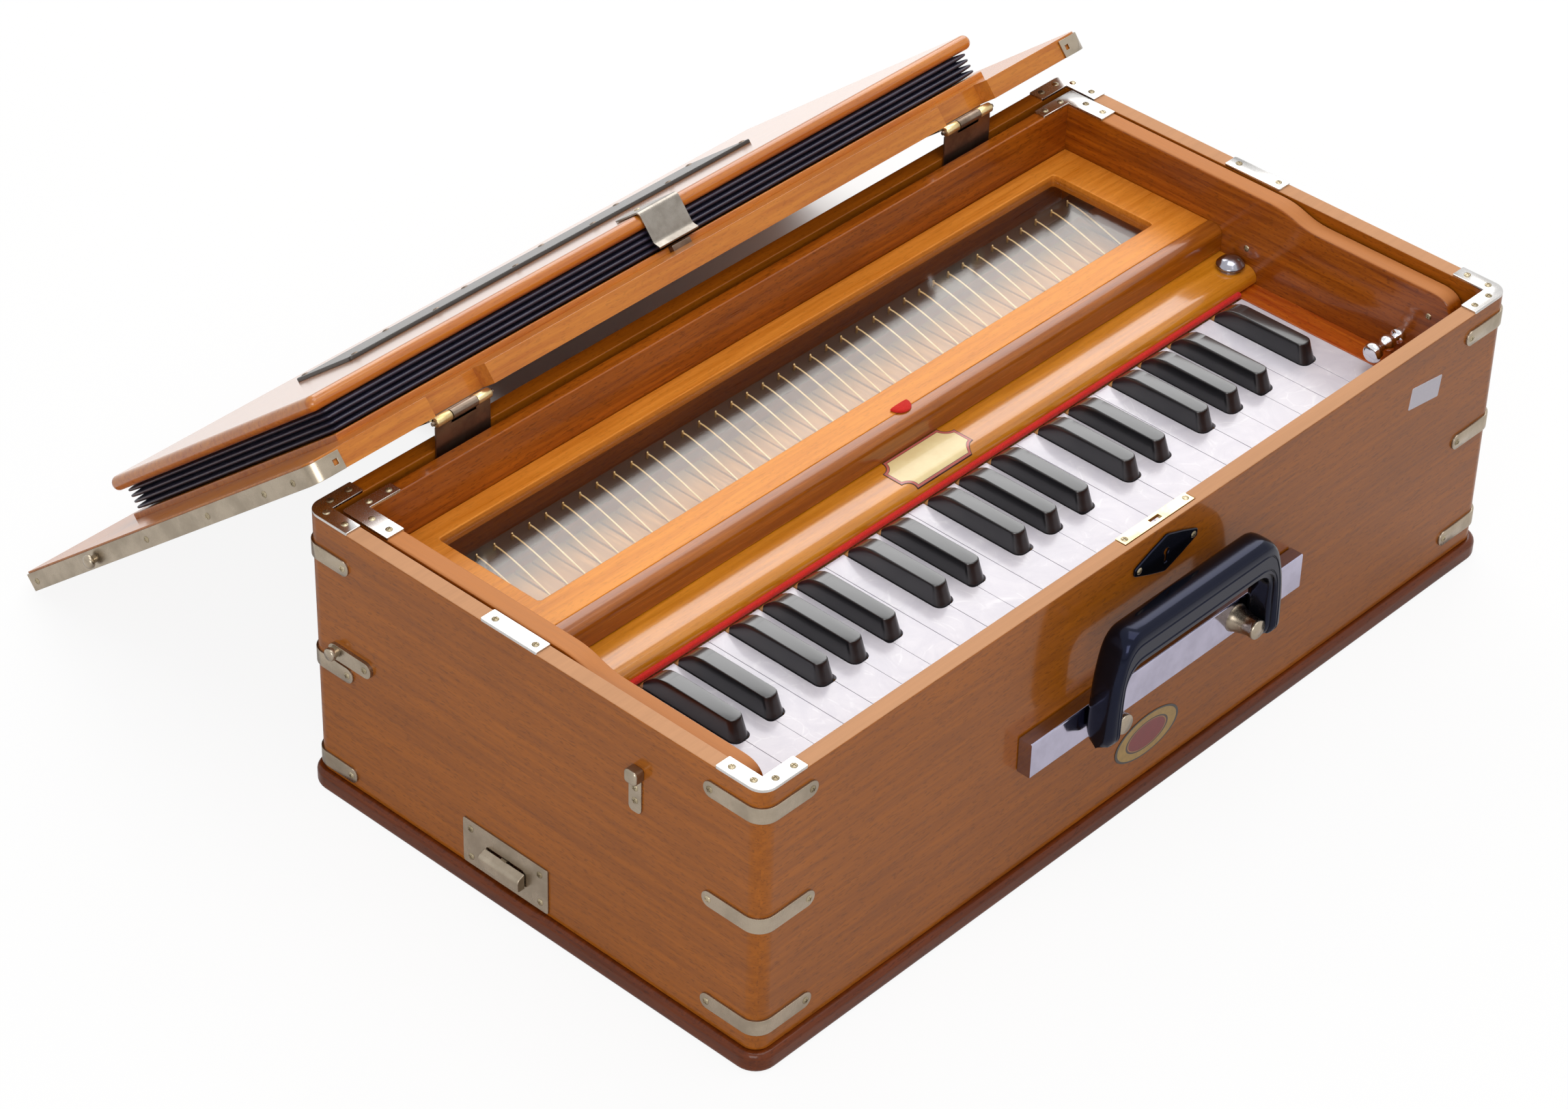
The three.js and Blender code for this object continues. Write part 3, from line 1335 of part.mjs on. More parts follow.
harmonium.add(
  piece("case_base", caseBase(), CASE_WOOD),
  piece("case_walls", caseWalls(), CASE_WOOD),
  piece("latch_tab", latchTab(), NICKEL),
  piece("lock_plate", lockPlate(), BRASS),
  piece("lock_escutcheon", lockEscutcheon(), BLACK_PLASTIC),
  piece("hinge_leaf_left", hingeLeaf(HINGE_LEFT_X), DARK_STEEL),
  piece("hinge_leaf_right", hingeLeaf(HINGE_RIGHT_X), DARK_STEEL),
  piece("handle_bar", handleBar(), CHROME),
);

const grip = new THREE.Group();
grip.position.set(HANDLE_X, -PIVOT_OUT, PIVOT_AT_Z);
grip.add(piece("handle_grip", handleGrip(), BLACK_PLASTIC));
harmonium.add(grip);

const lid = new THREE.Group();
lid.position.set(0, HINGE_Y, HINGE_Z);
lid.rotation.x = -LID_SLOPE;
lid.add(
  piece("lid_panel", lidPanel(), BODY_WOOD),
  piece("lid_strip_left", lidStrip(-1), NICKEL),
  piece("lid_strip_right", lidStrip(1), NICKEL),
  piece("bellows_folds", bellowsFolds(), NAVY_CLOTH),
  piece("bellows_board", bellowsBoard(), BODY_WOOD),
  piece("bellows_clip", bellowsClip(), CHROME),
);
harmonium.add(lid);

harmonium.add(
  piece("inner_body", innerBody(), BODY_WOOD),
  piece("deck_board", deckBoard(), DECK_WOOD),
  piece("window_glass", windowGlass(), GLASS),
  piece("key_cover", keyCover(), DECK_WOOD),
  piece("felt_strip", feltStrip(), FELT),
  piece("spring_rail", springRail(), DARK_STEEL),
);

const count = { white: 0, black: 0 };
for (const key of keys) {
  const kind = key.black ? "black" : "white";
  count[kind] += 1;
  harmonium.add(
    piece(
      `key_${kind}_${String(count[kind]).padStart(2, "0")}`,
      key.black ? blackKey(key) : whiteKey(key),
      key.black ? EBONY : IVORY,
    ),
  );
}

export default harmonium;
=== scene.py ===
# %% [markdown]
# A folding harmonium, open for playing. A packed model gives every size and place; this
# lesson dresses it. Each step says what a piece is on the real instrument, how it could be
# made in Blender, and why one way was chosen. All lengths are typed in millimetres from the
# case's front left foot, and turned into Blender's metres by one helper.

# %% The packed model
import math

import bpy
import numpy as np
from mathutils import Matrix, Vector


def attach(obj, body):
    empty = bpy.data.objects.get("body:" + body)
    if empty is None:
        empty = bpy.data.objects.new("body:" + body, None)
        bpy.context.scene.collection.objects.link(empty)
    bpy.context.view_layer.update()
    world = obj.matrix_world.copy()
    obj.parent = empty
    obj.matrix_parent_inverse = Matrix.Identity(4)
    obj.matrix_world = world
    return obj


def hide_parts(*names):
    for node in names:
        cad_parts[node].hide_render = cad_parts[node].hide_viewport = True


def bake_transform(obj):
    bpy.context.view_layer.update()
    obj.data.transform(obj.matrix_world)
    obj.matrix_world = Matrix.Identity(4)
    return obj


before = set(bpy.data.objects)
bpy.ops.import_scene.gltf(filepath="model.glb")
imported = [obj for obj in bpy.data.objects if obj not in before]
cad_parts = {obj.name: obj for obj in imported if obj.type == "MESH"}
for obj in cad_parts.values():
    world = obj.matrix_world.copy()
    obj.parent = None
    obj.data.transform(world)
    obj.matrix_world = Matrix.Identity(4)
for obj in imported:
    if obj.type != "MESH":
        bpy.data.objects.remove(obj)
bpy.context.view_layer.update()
bpy.ops.object.select_all(action="DESELECT")

MM = 0.001
CASE_W, CASE_D = 590, 315.6
MID_X, MID_Y = CASE_W / 2, CASE_D / 2
TO_MODEL = Matrix.Translation((-MID_X * MM, -MID_Y * MM, 0)) @ Matrix.Scale(MM, 4)


def at(x, y, z):
    """A place in millimetres from the case's front left foot, as Blender's metres."""
    return TO_MODEL @ Vector((x, y, z))


# %% [markdown]
# The camera looks down on the instrument from its front left, from about two metres away
# and through a long lens, so the box hardly narrows towards the back. Its place and its
# three directions are given, rather than a target to track, because the picture leans by
# a degree or so.

# %% Camera
EYE = at(-1165.66, -1057.81, 1526.93)
LOOK = Vector((0.58974, 0.53087, -0.60860)).normalized()
ACROSS = Vector((0.68192, -0.73106, 0.02310))
ACROSS = (ACROSS - ACROSS.dot(LOOK) * LOOK).normalized()
UP = ACROSS.cross(LOOK)
LENS_PX, PICTURE_W, SENSOR = 6541.9, 2296, 36

bpy.ops.object.camera_add()
camera = bpy.context.object
camera.matrix_world = Matrix(
    [[ACROSS[i], UP[i], -LOOK[i], EYE[i]] for i in range(3)] + [[0, 0, 0, 1]]
)
camera.data.sensor_width = SENSOR
camera.data.sensor_fit = "HORIZONTAL"
camera.data.lens = LENS_PX / PICTURE_W * SENSOR
camera.data.clip_start, camera.data.clip_end = 0.05, 50
bpy.context.scene.camera = camera
bpy.context.scene.view_settings.view_transform = "Standard"
print("lens:", round(camera.data.lens, 2), "mm")

# %% [markdown]
# Materials are written as sums. A small class holds one output of a shader node, and adding
# or multiplying two of them places the Math node that does it. Everything else goes
# through one method that takes a node's type, its settings and its inputs, so a finish
# reads as a short recipe instead of a page of links. The sky is written in the same way.


# %% Shader sums
def paint(code, strength=1.0):
    """An sRGB colour such as 8f5a35 as the linear colour that shaders work with."""
    parts = [int(code[i : i + 2], 16) / 255 for i in (0, 2, 4)]
    linear = [p / 12.92 if p <= 0.04045 else ((p + 0.055) / 1.055) ** 2.4 for p in parts]
    return (*[min(1.0, p * strength) for p in linear], 1.0)


class Wire:
    """One output of a node. Arithmetic on wires adds Math nodes."""

    def __init__(self, recipe, node, output=0):
        self.recipe, self.node, self.socket = recipe, node, node.outputs[output]

    def out(self, output):
        return Wire(self.recipe, self.node, output)

    def math(self, operation, *others):
        inputs = dict(enumerate((self, *others)))
        return self.recipe.add("ShaderNodeMath", {"operation": operation}, inputs)

    def __add__(self, other):
        return self.math("ADD", other)

    def __mul__(self, other):
        return self.math("MULTIPLY", other)

    def __sub__(self, other):
        return self.math("SUBTRACT", other)

    def __rsub__(self, other):
        return self.recipe.add("ShaderNodeMath", {"operation": "SUBTRACT"}, {0: other, 1: self})

    __radd__, __rmul__ = __add__, __mul__

    def over(self, edge):
        """1 where the value is above the edge, else 0."""
        return self.math("GREATER_THAN", edge)

    def under(self, edge):
        return self.math("LESS_THAN", edge)

    def step(self, low, high):
        """A smooth rise from 0 at low to 1 at high."""
        settings = {"interpolation_type": "SMOOTHSTEP"}
        return self.recipe.add("ShaderNodeMapRange", settings, {0: self, 1: low, 2: high})


class Recipe:
    """A node tree, filled with one call for each node."""

    def __init__(self, tree):
        self.nodes, self.links = tree.nodes, tree.links

    def feed(self, socket, value):
        if isinstance(value, Wire):
            self.links.new(value.socket, socket)
        else:
            socket.default_value = value

    def add(self, kind, settings=None, inputs=None, output=0):
        node = self.nodes.new(kind)
        for name, value in (settings or {}).items():
            setattr(node, name, value)
        for name, value in (inputs or {}).items():
            self.feed(node.inputs[name], value)
        return Wire(self, node, output)


print("shader sums ready, such as paint('8f5a35'):", [round(p, 3) for p in paint("8f5a35")])

# %% [markdown]
# A finish is a material with one Principled shader. Its methods are the few textures this
# instrument needs: noise for grain and stains, cells for leather and pearl, a bump for
# relief. They read Object coordinates, so a pattern stays put when a piece is joined to
# another, and runs on from board to board.


# %% Finishes
class Finish(Recipe):
    """A material with one Principled shader, and the recipe that feeds it."""

    def __init__(self, name, **fixed):
        self.material = bpy.data.materials.new(name)
        self.material.use_nodes = True
        super().__init__(self.material.node_tree)
        self.own = Wire(self, self.nodes["Principled BSDF"])
        self.set(**fixed)

    def set(self, **inputs):
        """Principled inputs by name, such as coat_weight=0.3."""
        for name, value in inputs.items():
            title = name.replace("_", " ").title().replace("Ior", "IOR")
            self.feed(self.own.node.inputs[title], value)
        return self

    def show(self, share, first, second):
        """Shows a blend of two shaders in place of the Principled one alone."""
        blend = self.add("ShaderNodeMixShader", {}, {0: share, 1: first, 2: second})
        self.feed(self.nodes["Material Output"].inputs["Surface"], blend)

    def coordinates(self, kind="Object"):
        return self.add("ShaderNodeTexCoord", output=kind)

    def place(self, scale=(1, 1, 1), turn=(0, 0, 0), shift=(0, 0, 0), of=None):
        """Object coordinates, or another vector, stretched, turned and moved."""
        inputs = {"Vector": of or self.coordinates()}
        inputs.update(Scale=scale, Rotation=turn, Location=shift)
        return self.add("ShaderNodeMapping", {}, inputs)

    def split(self, vector):
        node = self.add("ShaderNodeSeparateXYZ", {}, {0: vector})
        return [node.out(i) for i in range(3)]

    def noise(self, vector, scale=1.0, detail=2.0, rough=0.5, warp=0.0):
        inputs = {"Vector": vector, "Scale": scale, "Detail": detail}
        inputs.update(Roughness=rough, Distortion=warp)
        return self.add("ShaderNodeTexNoise", {}, inputs)

    def cells(self, vector, scale, feature="F1"):
        inputs = {"Vector": vector, "Scale": scale}
        return self.add("ShaderNodeTexVoronoi", {"feature": feature}, inputs, "Distance")

    def mix(self, share, first, second):
        """One of two colours, or a blend of them."""
        inputs = {0: share, 6: first, 7: second}
        return self.add("ShaderNodeMix", {"data_type": "RGBA"}, inputs, 2)

    def either(self, share, first, second):
        """One of two vectors, or a blend of them."""
        inputs = {0: share, 4: first, 5: second}
        return self.add("ShaderNodeMix", {"data_type": "VECTOR"}, inputs, 1)

    def bump(self, height, depth_mm, strength=1.0):
        inputs = {"Height": height, "Distance": depth_mm * MM, "Strength": strength}
        return self.add("ShaderNodeBump", {}, inputs)


print("a finish can:", [word for word in vars(Finish) if not word.startswith("_")])

# %% [markdown]
# The room is a plain studio: a pale floor and an even sky of light. The world is white to
# the camera and to mirrors, and dimmer as a lamp, so colours stay as painted. The floor
# glows a little towards the camera, to be as pale as the sky, but not where the open lid
# shades it, and it throws a duller light back on the instrument.

# %% World and floor
SKY_AS_LAMP = 0.43
FLOOR_GLOW, FLOOR_GLOW_IN_MIRRORS = 0.9, 0.2

world = bpy.data.worlds.new("studio")
bpy.context.scene.world = world
world.use_nodes = True
sky = Recipe(world.node_tree)
ray = sky.add("ShaderNodeLightPath", output="Is Camera Ray")
in_mirrors = ray.out("Is Glossy Ray").math("MAXIMUM", ray.out("Is Transmission Ray"))
background = sky.nodes["Background"].inputs
sky.feed(background["Color"], (1, 1, 1, 1))
sky.feed(
    background["Strength"],
    ray.math("MAXIMUM", in_mirrors) * (1 - SKY_AS_LAMP) + SKY_AS_LAMP,
)

bpy.ops.mesh.primitive_plane_add(size=30)
floor = bpy.context.object
floor.name = "studio_floor"
floor_paint = Finish("floor_paint", roughness=0.9, specular_ior_level=0.1)
where = floor_paint.place()
x, y, _ = floor_paint.split(where)
ray = floor_paint.add("ShaderNodeLightPath", output="Is Camera Ray")
cloud = floor_paint.noise(where, scale=3.0)
pale = floor_paint.mix(cloud, paint("f6f5f4"), paint("fbfaf9"))
floor_paint.set(base_color=floor_paint.mix(ray.out("Is Diffuse Ray"), pale, paint("a9a7a5")))
under_lid = x.step(-0.05, 0.02) * (1 - x.step(0.34, 0.48))
under_lid = under_lid * y.step(0.1, 0.17) * (1 - y.step(0.4, 0.44))
glow = floor_paint.add("ShaderNodeEmission", {}, {"Color": (1, 1, 1, 1), "Strength": 1.0})
share = ray * FLOOR_GLOW + ray.out("Is Glossy Ray") * FLOOR_GLOW_IN_MIRRORS
floor_paint.show(share * (1 - under_lid), floor_paint.own, glow)
floor.data.materials.append(floor_paint.material)
print("floor:", [round(side) for side in floor.dimensions], "metres")

# %% [markdown]
# Three soft panels light it. The widest hangs beyond the instrument, low enough to glance
# off everything flat, because varnish, ivory and glass show their gloss only against
# something bright. One from above gives the colours, and a small one from the left lifts
# the side nearest the camera.


# %% Lamps
def panel(name, place, aim, size, power):
    """A soft rectangular lamp that faces a point."""
    bpy.ops.object.light_add(type="AREA", location=at(*place))
    lamp = bpy.context.object
    lamp.name = name
    lamp.data.shape = "RECTANGLE"
    lamp.data.size, lamp.data.size_y = size
    lamp.data.energy = power
    lamp.rotation_euler = (at(*aim) - at(*place)).to_track_quat("-Z", "Y").to_euler()
    return lamp


panel("panel_beyond", (1450, 1180, 1350), (350, 150, 120), (1.8, 1.2), 18)
panel("panel_above", (450, -100, 2200), (350, 150, 100), (1.6, 1.6), 18)
panel("panel_left", (-900, -600, 800), (100, 100, 90), (0.7, 0.7), 7)

# %% [markdown]
# Blender's operators act on what is selected, so these helpers select one piece, or open it
# for editing, before each step.


# %% Selecting
def only(*pieces):
    bpy.ops.object.select_all(action="DESELECT")
    for piece in pieces:
        piece.select_set(True)
    bpy.context.view_layer.objects.active = pieces[0]
    return pieces[0]


def edit(piece, select="SELECT"):
    only(piece)
    bpy.ops.object.mode_set(mode="EDIT")
    bpy.ops.mesh.select_all(action=select)


def done():
    bpy.ops.object.mode_set(mode="OBJECT")


print("selecting ready")

# %% [markdown]
# Nearly every piece here is sawn, pressed or moulded from an outline. The outline is typed
# as corners with a radius each, and every corner is turned with an arc. Long curves, such
# as the cheeks' edges, are Bezier sweeps between two points.


# %% Outlines
def rounded(*corners, steps=6):
    """An outline through corners (u, v, radius), each turned with an arc."""
    outline = []
    for i, (u, v, radius) in enumerate(corners):
        here = Vector((u, v))
        if radius == 0:
            outline.append((u, v))
            continue
        back = (Vector(corners[i - 1][:2]) - here).normalized()
        ahead = (Vector(corners[(i + 1) % len(corners)][:2]) - here).normalized()
        half = back.angle(ahead) / 2
        centre = here + (back + ahead).normalized() * (radius / math.sin(half))
        start = here + back * (radius / math.tan(half)) - centre
        end = here + ahead * (radius / math.tan(half)) - centre
        turn = start.angle_signed(end)
        for step in range(steps + 1):
            spoke = Matrix.Rotation(-turn * step / steps, 2) @ start
            outline.append(tuple(centre + spoke))
    return outline


def sweep(a, b, c, d, steps=14):
    """Points on a Bezier curve through a and d."""
    points = []
    for i in range(steps + 1):
        t = i / steps
        weights = ((1 - t) ** 3, 3 * t * (1 - t) ** 2, 3 * t * t * (1 - t), t**3)
        point = [sum(w * q[k] for w, q in zip(weights, (a, b, c, d))) for k in (0, 1)]
        points.append(tuple(point))
    return points


def box_outline(u, v, radius=0, steps=6):
    (u0, u1), (v0, v1) = u, v
    corners = [(u0, v0), (u1, v0), (u1, v1), (u0, v1)]
    return rounded(*[(*corner, radius) for corner in corners], steps=steps)


def disc(u, v, radius, count=24):
    angles = [2 * math.pi * i / count for i in range(count)]
    return [(u + radius * math.cos(a), v + radius * math.sin(a)) for a in angles]


print("a rounded square has", len(box_outline((0, 10), (0, 10), 2)), "points")

# %% [markdown]
# A solid starts from such an outline: a circle with as many corners is added, its corners
# are moved onto the outline, and the face is extruded. Squared blocks start from a cube.

# %% Solids
PLANES = {"x": (1, 2, 0), "y": (0, 2, 1), "z": (0, 1, 2)}


def prism(name, outline, axis, low, high):
    """An outline in the plane across an axis, extruded from low to high along it."""
    bpy.ops.mesh.primitive_circle_add(vertices=len(outline), fill_type="NGON")
    piece = bpy.context.object
    piece.name = piece.data.name = name
    first, second, along = PLANES[axis]
    for corner, (u, v) in zip(piece.data.vertices, outline):
        place = [0, 0, 0]
        place[first], place[second], place[along] = u, v, low
        corner.co = at(*place)
    edit(piece)
    reach = [0, 0, 0]
    reach[along] = (high - low) * MM
    bpy.ops.mesh.extrude_region_move(TRANSFORM_OT_translate={"value": reach})
    bpy.ops.mesh.select_all(action="SELECT")
    bpy.ops.mesh.normals_make_consistent(inside=False)
    done()
    return piece


def slab(name, x, y, z):
    """A squared block between two corners."""
    centre = [(low + high) / 2 for low, high in (x, y, z)]
    sides = [(high - low) * MM for low, high in (x, y, z)]
    bpy.ops.mesh.primitive_cube_add(size=1, location=at(*centre), scale=sides)
    piece = bpy.context.object
    piece.name = piece.data.name = name
    bpy.ops.object.transform_apply(location=True, rotation=True, scale=True)
    return piece


print("prism and slab ready")

# %% [markdown]
# A bevel then takes off the sharp edges, and weighted normals keep the flats flat beside
# the small rounds. Slots and holes are cut with a boolean. Where only some edges are to be
# rounded, a test picks them by the places of their two ends.


# %% Edges and cuts
def apply(piece, kind, **settings):
    """Adds a modifier, sets it and applies it."""
    modifier = piece.modifiers.new(kind.lower(), kind)
    for name, value in settings.items():
        setattr(modifier, name, value)
    only(piece)
    bpy.ops.object.modifier_apply(modifier=modifier.name)
    return piece


def smooth(piece, angle=40):
    only(piece)
    bpy.ops.object.shade_smooth_by_angle(angle=math.radians(angle))
    return piece


def soften(piece, width, segments=3, angle=40, shade=True):
    """Rounds every edge that is sharper than the angle."""
    bevel = {"width": width * MM, "segments": segments, "limit_method": "ANGLE"}
    apply(piece, "BEVEL", angle_limit=math.radians(angle), **bevel)
    if shade:
        smooth(piece)
        apply(piece, "WEIGHTED_NORMAL", keep_sharp=True)
    return piece


def carve(piece, *cutters):
    """Cuts other solids out of a piece and throws them away."""
    for cutter in cutters:
        apply(piece, "BOOLEAN", operation="DIFFERENCE", solver="EXACT", object=cutter)
        bpy.data.objects.remove(cutter)
    return piece


def round_edges(piece, radius, chosen, segments=8):
    """Rounds only the edges whose two ends, in millimetres, pass a test."""
    bpy.context.tool_settings.mesh_select_mode = (False, True, False)
    edit(piece, "DESELECT")
    done()
    ends = [TO_MODEL.inverted() @ corner.co for corner in piece.data.vertices]
    for edge in piece.data.edges:
        edge.select = chosen(*[ends[i] for i in edge.vertices])
    bpy.ops.object.mode_set(mode="EDIT")
    bpy.ops.mesh.bevel(offset=radius * MM, segments=segments, affect="EDGES")
    done()
    bpy.context.tool_settings.mesh_select_mode = (True, False, False)
    return piece


print("edges and cuts ready")

# %% [markdown]
# There are two more ways to make a solid here. What swells or bends is a grid whose rows
# are moved onto rings, so that it becomes a tube. What is turned on a lathe is a profile of
# lengths and radii, spun round an axis.


# %% Lofted and turned solids
def lofted(name, rings):
    """A tube through rings of points with as many points each, closed at both ends."""
    around, along = len(rings[0]), len(rings)
    bpy.ops.mesh.primitive_grid_add(x_subdivisions=around, y_subdivisions=along - 1)
    piece = bpy.context.object
    piece.name = piece.data.name = name
    for i, corner in enumerate(piece.data.vertices):
        corner.co = at(*rings[i // (around + 1)][i % (around + 1) % around])
    edit(piece)
    bpy.ops.mesh.remove_doubles(threshold=1e-6)
    bpy.ops.mesh.select_all(action="DESELECT")
    bpy.ops.mesh.select_mode(type="EDGE")
    bpy.ops.mesh.select_non_manifold(extend=False)
    bpy.ops.mesh.edge_face_add()
    bpy.ops.mesh.select_mode(type="VERT")
    bpy.ops.mesh.select_all(action="SELECT")
    bpy.ops.mesh.normals_make_consistent(inside=False)
    done()
    return piece


def turned(name, profile, axis, centre, count=32):
    """A profile of (along, radius) spun round an axis through a centre."""
    bpy.ops.mesh.primitive_circle_add(vertices=len(profile), fill_type="NOTHING")
    piece = bpy.context.object
    piece.name = piece.data.name = name
    first, second, along = PLANES[axis]
    for corner, (length, radius) in zip(piece.data.vertices, profile):
        place = list(centre)
        place[along] += length
        place[first] += radius
        corner.co = at(*place)
    edit(piece)
    direction = [0, 0, 0]
    direction[along] = 1
    bpy.ops.mesh.spin(
        steps=count, angle=2 * math.pi, center=at(*centre), axis=direction, dupli=False
    )
    bpy.ops.mesh.select_all(action="SELECT")
    bpy.ops.mesh.remove_doubles(threshold=1e-6)
    bpy.ops.mesh.dissolve_degenerate(threshold=1e-6)
    bpy.ops.mesh.normals_make_consistent(inside=False)
    done()
    return smooth(piece, 50)


print("lofting and turning ready")

# %% [markdown]
# What repeats is modelled once. A twin has a mesh of its own, so it can be moved by a
# matrix and joined. A mirror turns a mesh inside out, so its faces are flipped back.


# %% Copies and joins
def moved(piece, matrix):
    piece.data.transform(matrix)
    return piece


def joined(name, *pieces):
    only(*pieces)
    if len(pieces) > 1:
        bpy.ops.object.join()
    piece = bpy.context.object
    piece.name = piece.data.name = name
    return piece


def twin(piece, name, matrix):
    """A copy with a mesh of its own, moved, turned or mirrored by a matrix."""
    only(piece)
    bpy.ops.object.duplicate(linked=False)
    copy = bpy.context.object
    copy.name = copy.data.name = name
    copy.data.transform(matrix)
    if matrix.determinant() < 0:
        copy.data.flip_normals()
    return copy


def mirrored(piece, name, axis, middle):
    """A copy beyond a plane that stands across an axis at a place in millimetres."""
    index = "xyz".index(axis)
    there = at(*[middle if i == index else 0 for i in range(3)])[index]
    matrix = Matrix.Identity(4)
    matrix[index][index], matrix[index][3] = -1, 2 * there
    return twin(piece, name, matrix)


print("copying ready")

# %% [markdown]
# Every finished piece gets a material, the packed body it moves with and the packed nodes
# that it stands for. The plates also say where their screws go, with the direction that
# each looks in, and the screws are made from that list at the end.

# %% Dressing
SCREWS = {}


def dress(piece, finish, body, slot, *stands_for):
    """Gives a piece its material, the body it moves with and the nodes it replaces."""
    piece.data.materials.clear()
    piece.data.materials.append(finish.material)
    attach(piece, body)
    if stands_for:
        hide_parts(*stands_for)
    print(piece.name, len(piece.data.polygons), "faces, on", body)
    return piece


def note_screw(body, place, direction):
    SCREWS.setdefault(body, []).append((place, Vector(direction)))


# %% [markdown]
# The wood is a reddish hardwood under clear varnish: broad lighter and darker bands, fine
# lines along the board, and short dark pores. One recipe serves all boards. It stretches
# noise along the grain, and only its colours and its direction change. On the case the
# direction follows the surface normal, so each wall's grain runs along that wall. The upper
# edges of the side boards and the front, and the cheeks' tops, are painted paler and matt, as
# painted light where they face up. The normal picks those too, as far back as a limit in
# metres: the rear wall's edge, in the lid's shade, stays dark, as painted shade.

# %% Varnished wood
# Beyond this y the tops get no painted light: the rear wall's edge lies in the lid's shade.
PAINTED_LIGHT_UP_TO_Y = 0.147
STRETCH = {"x": (0.05, 1, 1), "y": (1, 0.05, 1), "walls": (0.05, 1, 1)}


def varnished(
    name, dark, light, along="x", rough=0.3, coat=0.4, pores=0.45, gloss=0.3, top=None
):
    wood = Finish(name, coat_roughness=0.1, ior=1.47, specular_ior_level=gloss)
    where = wood.coordinates()
    if along == "walls":
        side = wood.split(wood.coordinates("Normal"))[0].math("ABSOLUTE").over(0.7)
        where = wood.either(side, where, wood.place(turn=(0, 0, math.pi / 2), of=where))
    stretch = STRETCH[along]
    short = tuple(4.5 * s if s < 1 else 1 for s in stretch)
    grain = wood.place(scale=stretch, of=where)
    bands = wood.noise(grain, 38, 3, 0.55, 0.8)
    lines = wood.noise(grain, 330, 4, 0.62, 0.3)
    fleck = wood.noise(wood.place(scale=short, of=where), 1150, 1).step(0.58, 0.68)
    cloud = wood.noise(where, 7, 2).step(0.35, 0.75)
    tone = (bands * 0.3 + lines * 0.7).step(0.3, 0.7)
    colour = wood.mix(tone, paint(dark), paint(light))
    colour = wood.mix(fleck * pores, colour, paint(dark, 0.45))
    colour = wood.mix(cloud * 0.22, colour, paint(dark, 0.8))
    # top: a paler, matt colour painted on faces that look up, as painted light.
    if top:
        upward = wood.split(wood.coordinates("Normal"))[2].step(0.5, 0.8)
        lit_top = upward * wood.split(wood.coordinates())[1].under(PAINTED_LIGHT_UP_TO_Y)
        colour = wood.mix(lit_top, colour, wood.mix(tone, paint(top, 0.9), paint(top)))
        coat, rough = (1 - lit_top) * coat, lit_top * 0.3 + rough
    return wood.set(
        base_color=colour,
        roughness=rough + (lines - 0.5) * 0.16,
        coat_weight=coat,
        normal=wood.bump(lines * 0.6 - fleck * 0.8, 0.06, 0.35),
    )


# The top colours below are painted light on the upper faces of the case and the cheeks.
case_wood = varnished(
    "case_wood", "94500c", "b46512", "walls", rough=0.42, gloss=0.1, top="cb9770"
)
lip_wood = varnished("lip_wood", "5a2609", "78360c", "walls", rough=0.42, gloss=0.1)
body_wood_x = varnished("body_wood_x", "7c3804", "b25f12")
body_wood_y = varnished("body_wood_y", "7c3804", "b8630f", "y", coat=0.45, top="c27c44")
block_wood = varnished("block_wood", "a23c04", "d9741a", "y", coat=0.6)
print("woods:", [m.name for m in bpy.data.materials if "wood" in m.name])

# %% [markdown]
# The fittings are nickel-plated sheet: slightly warm, dulled by handling, with faint
# blotches and hairline scratches. Brass, chrome and steel are the same recipe with
# other colours and polish. Roughness does most of the work, since a metal has hardly any
# colour of its own beyond what it mirrors.


# %% Metals
def metal(name, light, dull, rough, blotch=0.12, scratch=0.1):
    plate = Finish(name, metallic=1.0)
    where = plate.place()
    stain = plate.noise(where, 55, 4, 0.6).step(0.35, 0.7)
    drawn = plate.place(scale=(1, 1, 0.08), turn=(0.5, 0.35, 0.2))
    hair = plate.noise(drawn, 2600, 2).step(0.5, 0.75)
    return plate.set(
        base_color=plate.mix(stain, paint(light), paint(dull)),
        roughness=stain * blotch + hair * scratch + rough,
        normal=plate.bump(hair + stain * 0.4, 0.01, 0.2),
    )


nickel = metal("nickel", "ac9f8d", "988c7b", 0.24, 0.08)
screw_steel = metal("screw_steel", "b6a98e", "7d7058", 0.3)
brass = metal("brass", "e6d2a2", "cdb27c", 0.28)
bright_nickel = metal("bright_nickel", "cfcdcb", "bdbab6", 0.2, 0.06)
chrome = metal("chrome", "e4e4e8", "d4d4d9", 0.03, 0.03, 0.02)
dark_steel = metal("dark_steel", "8a7a6c", "6a5a4d", 0.3)
plated = nickel, bright_nickel, screw_steel, brass, chrome, dark_steel
print("metals:", [finish.material.name for finish in plated])

# %% [markdown]
# The case is a box of ten-millimetre boards with rounded upright corners. It is drawn as
# one rounded block with the inside cut out. Small cuts let in the lock in the front edge
# and the tongue of the slide latch at the left.

# %% Case walls
WALL, CORNER_R, WALLS_LOW, TOP_Z = 10, 9, 12.3, 177.35
outside = box_outline((0, CASE_W), (0, CASE_D), CORNER_R, 8)
walls = prism("case_boards", outside, "z", WALLS_LOW, TOP_Z)
hollow = slab("hollow", (WALL, CASE_W - WALL), (WALL, CASE_D - WALL), (0, 200))
lock_bed = slab("lock_bed", (267.7, 323.3), (3.3, 30), (TOP_Z - 2.7, 200))
lock_pocket = slab("lock_pocket", (272.7, 318.3), (3.3, 30), (TOP_Z - 34.3, 200))
latch_hole = box_outline((154.5, 192.5), (28.8, 33.2), 2.1)
carve(walls, hollow, lock_bed, lock_pocket, prism("latch_slot", latch_hole, "x", -5, 6.5))
soften(walls, 0.7, 3, 50)
dress(walls, case_wood, "case", "case_wood", "case_walls")

# %% [markdown]
# The base is one darker board that stands out all round with a rolled lip. Two runners on
# it carry the inner body.

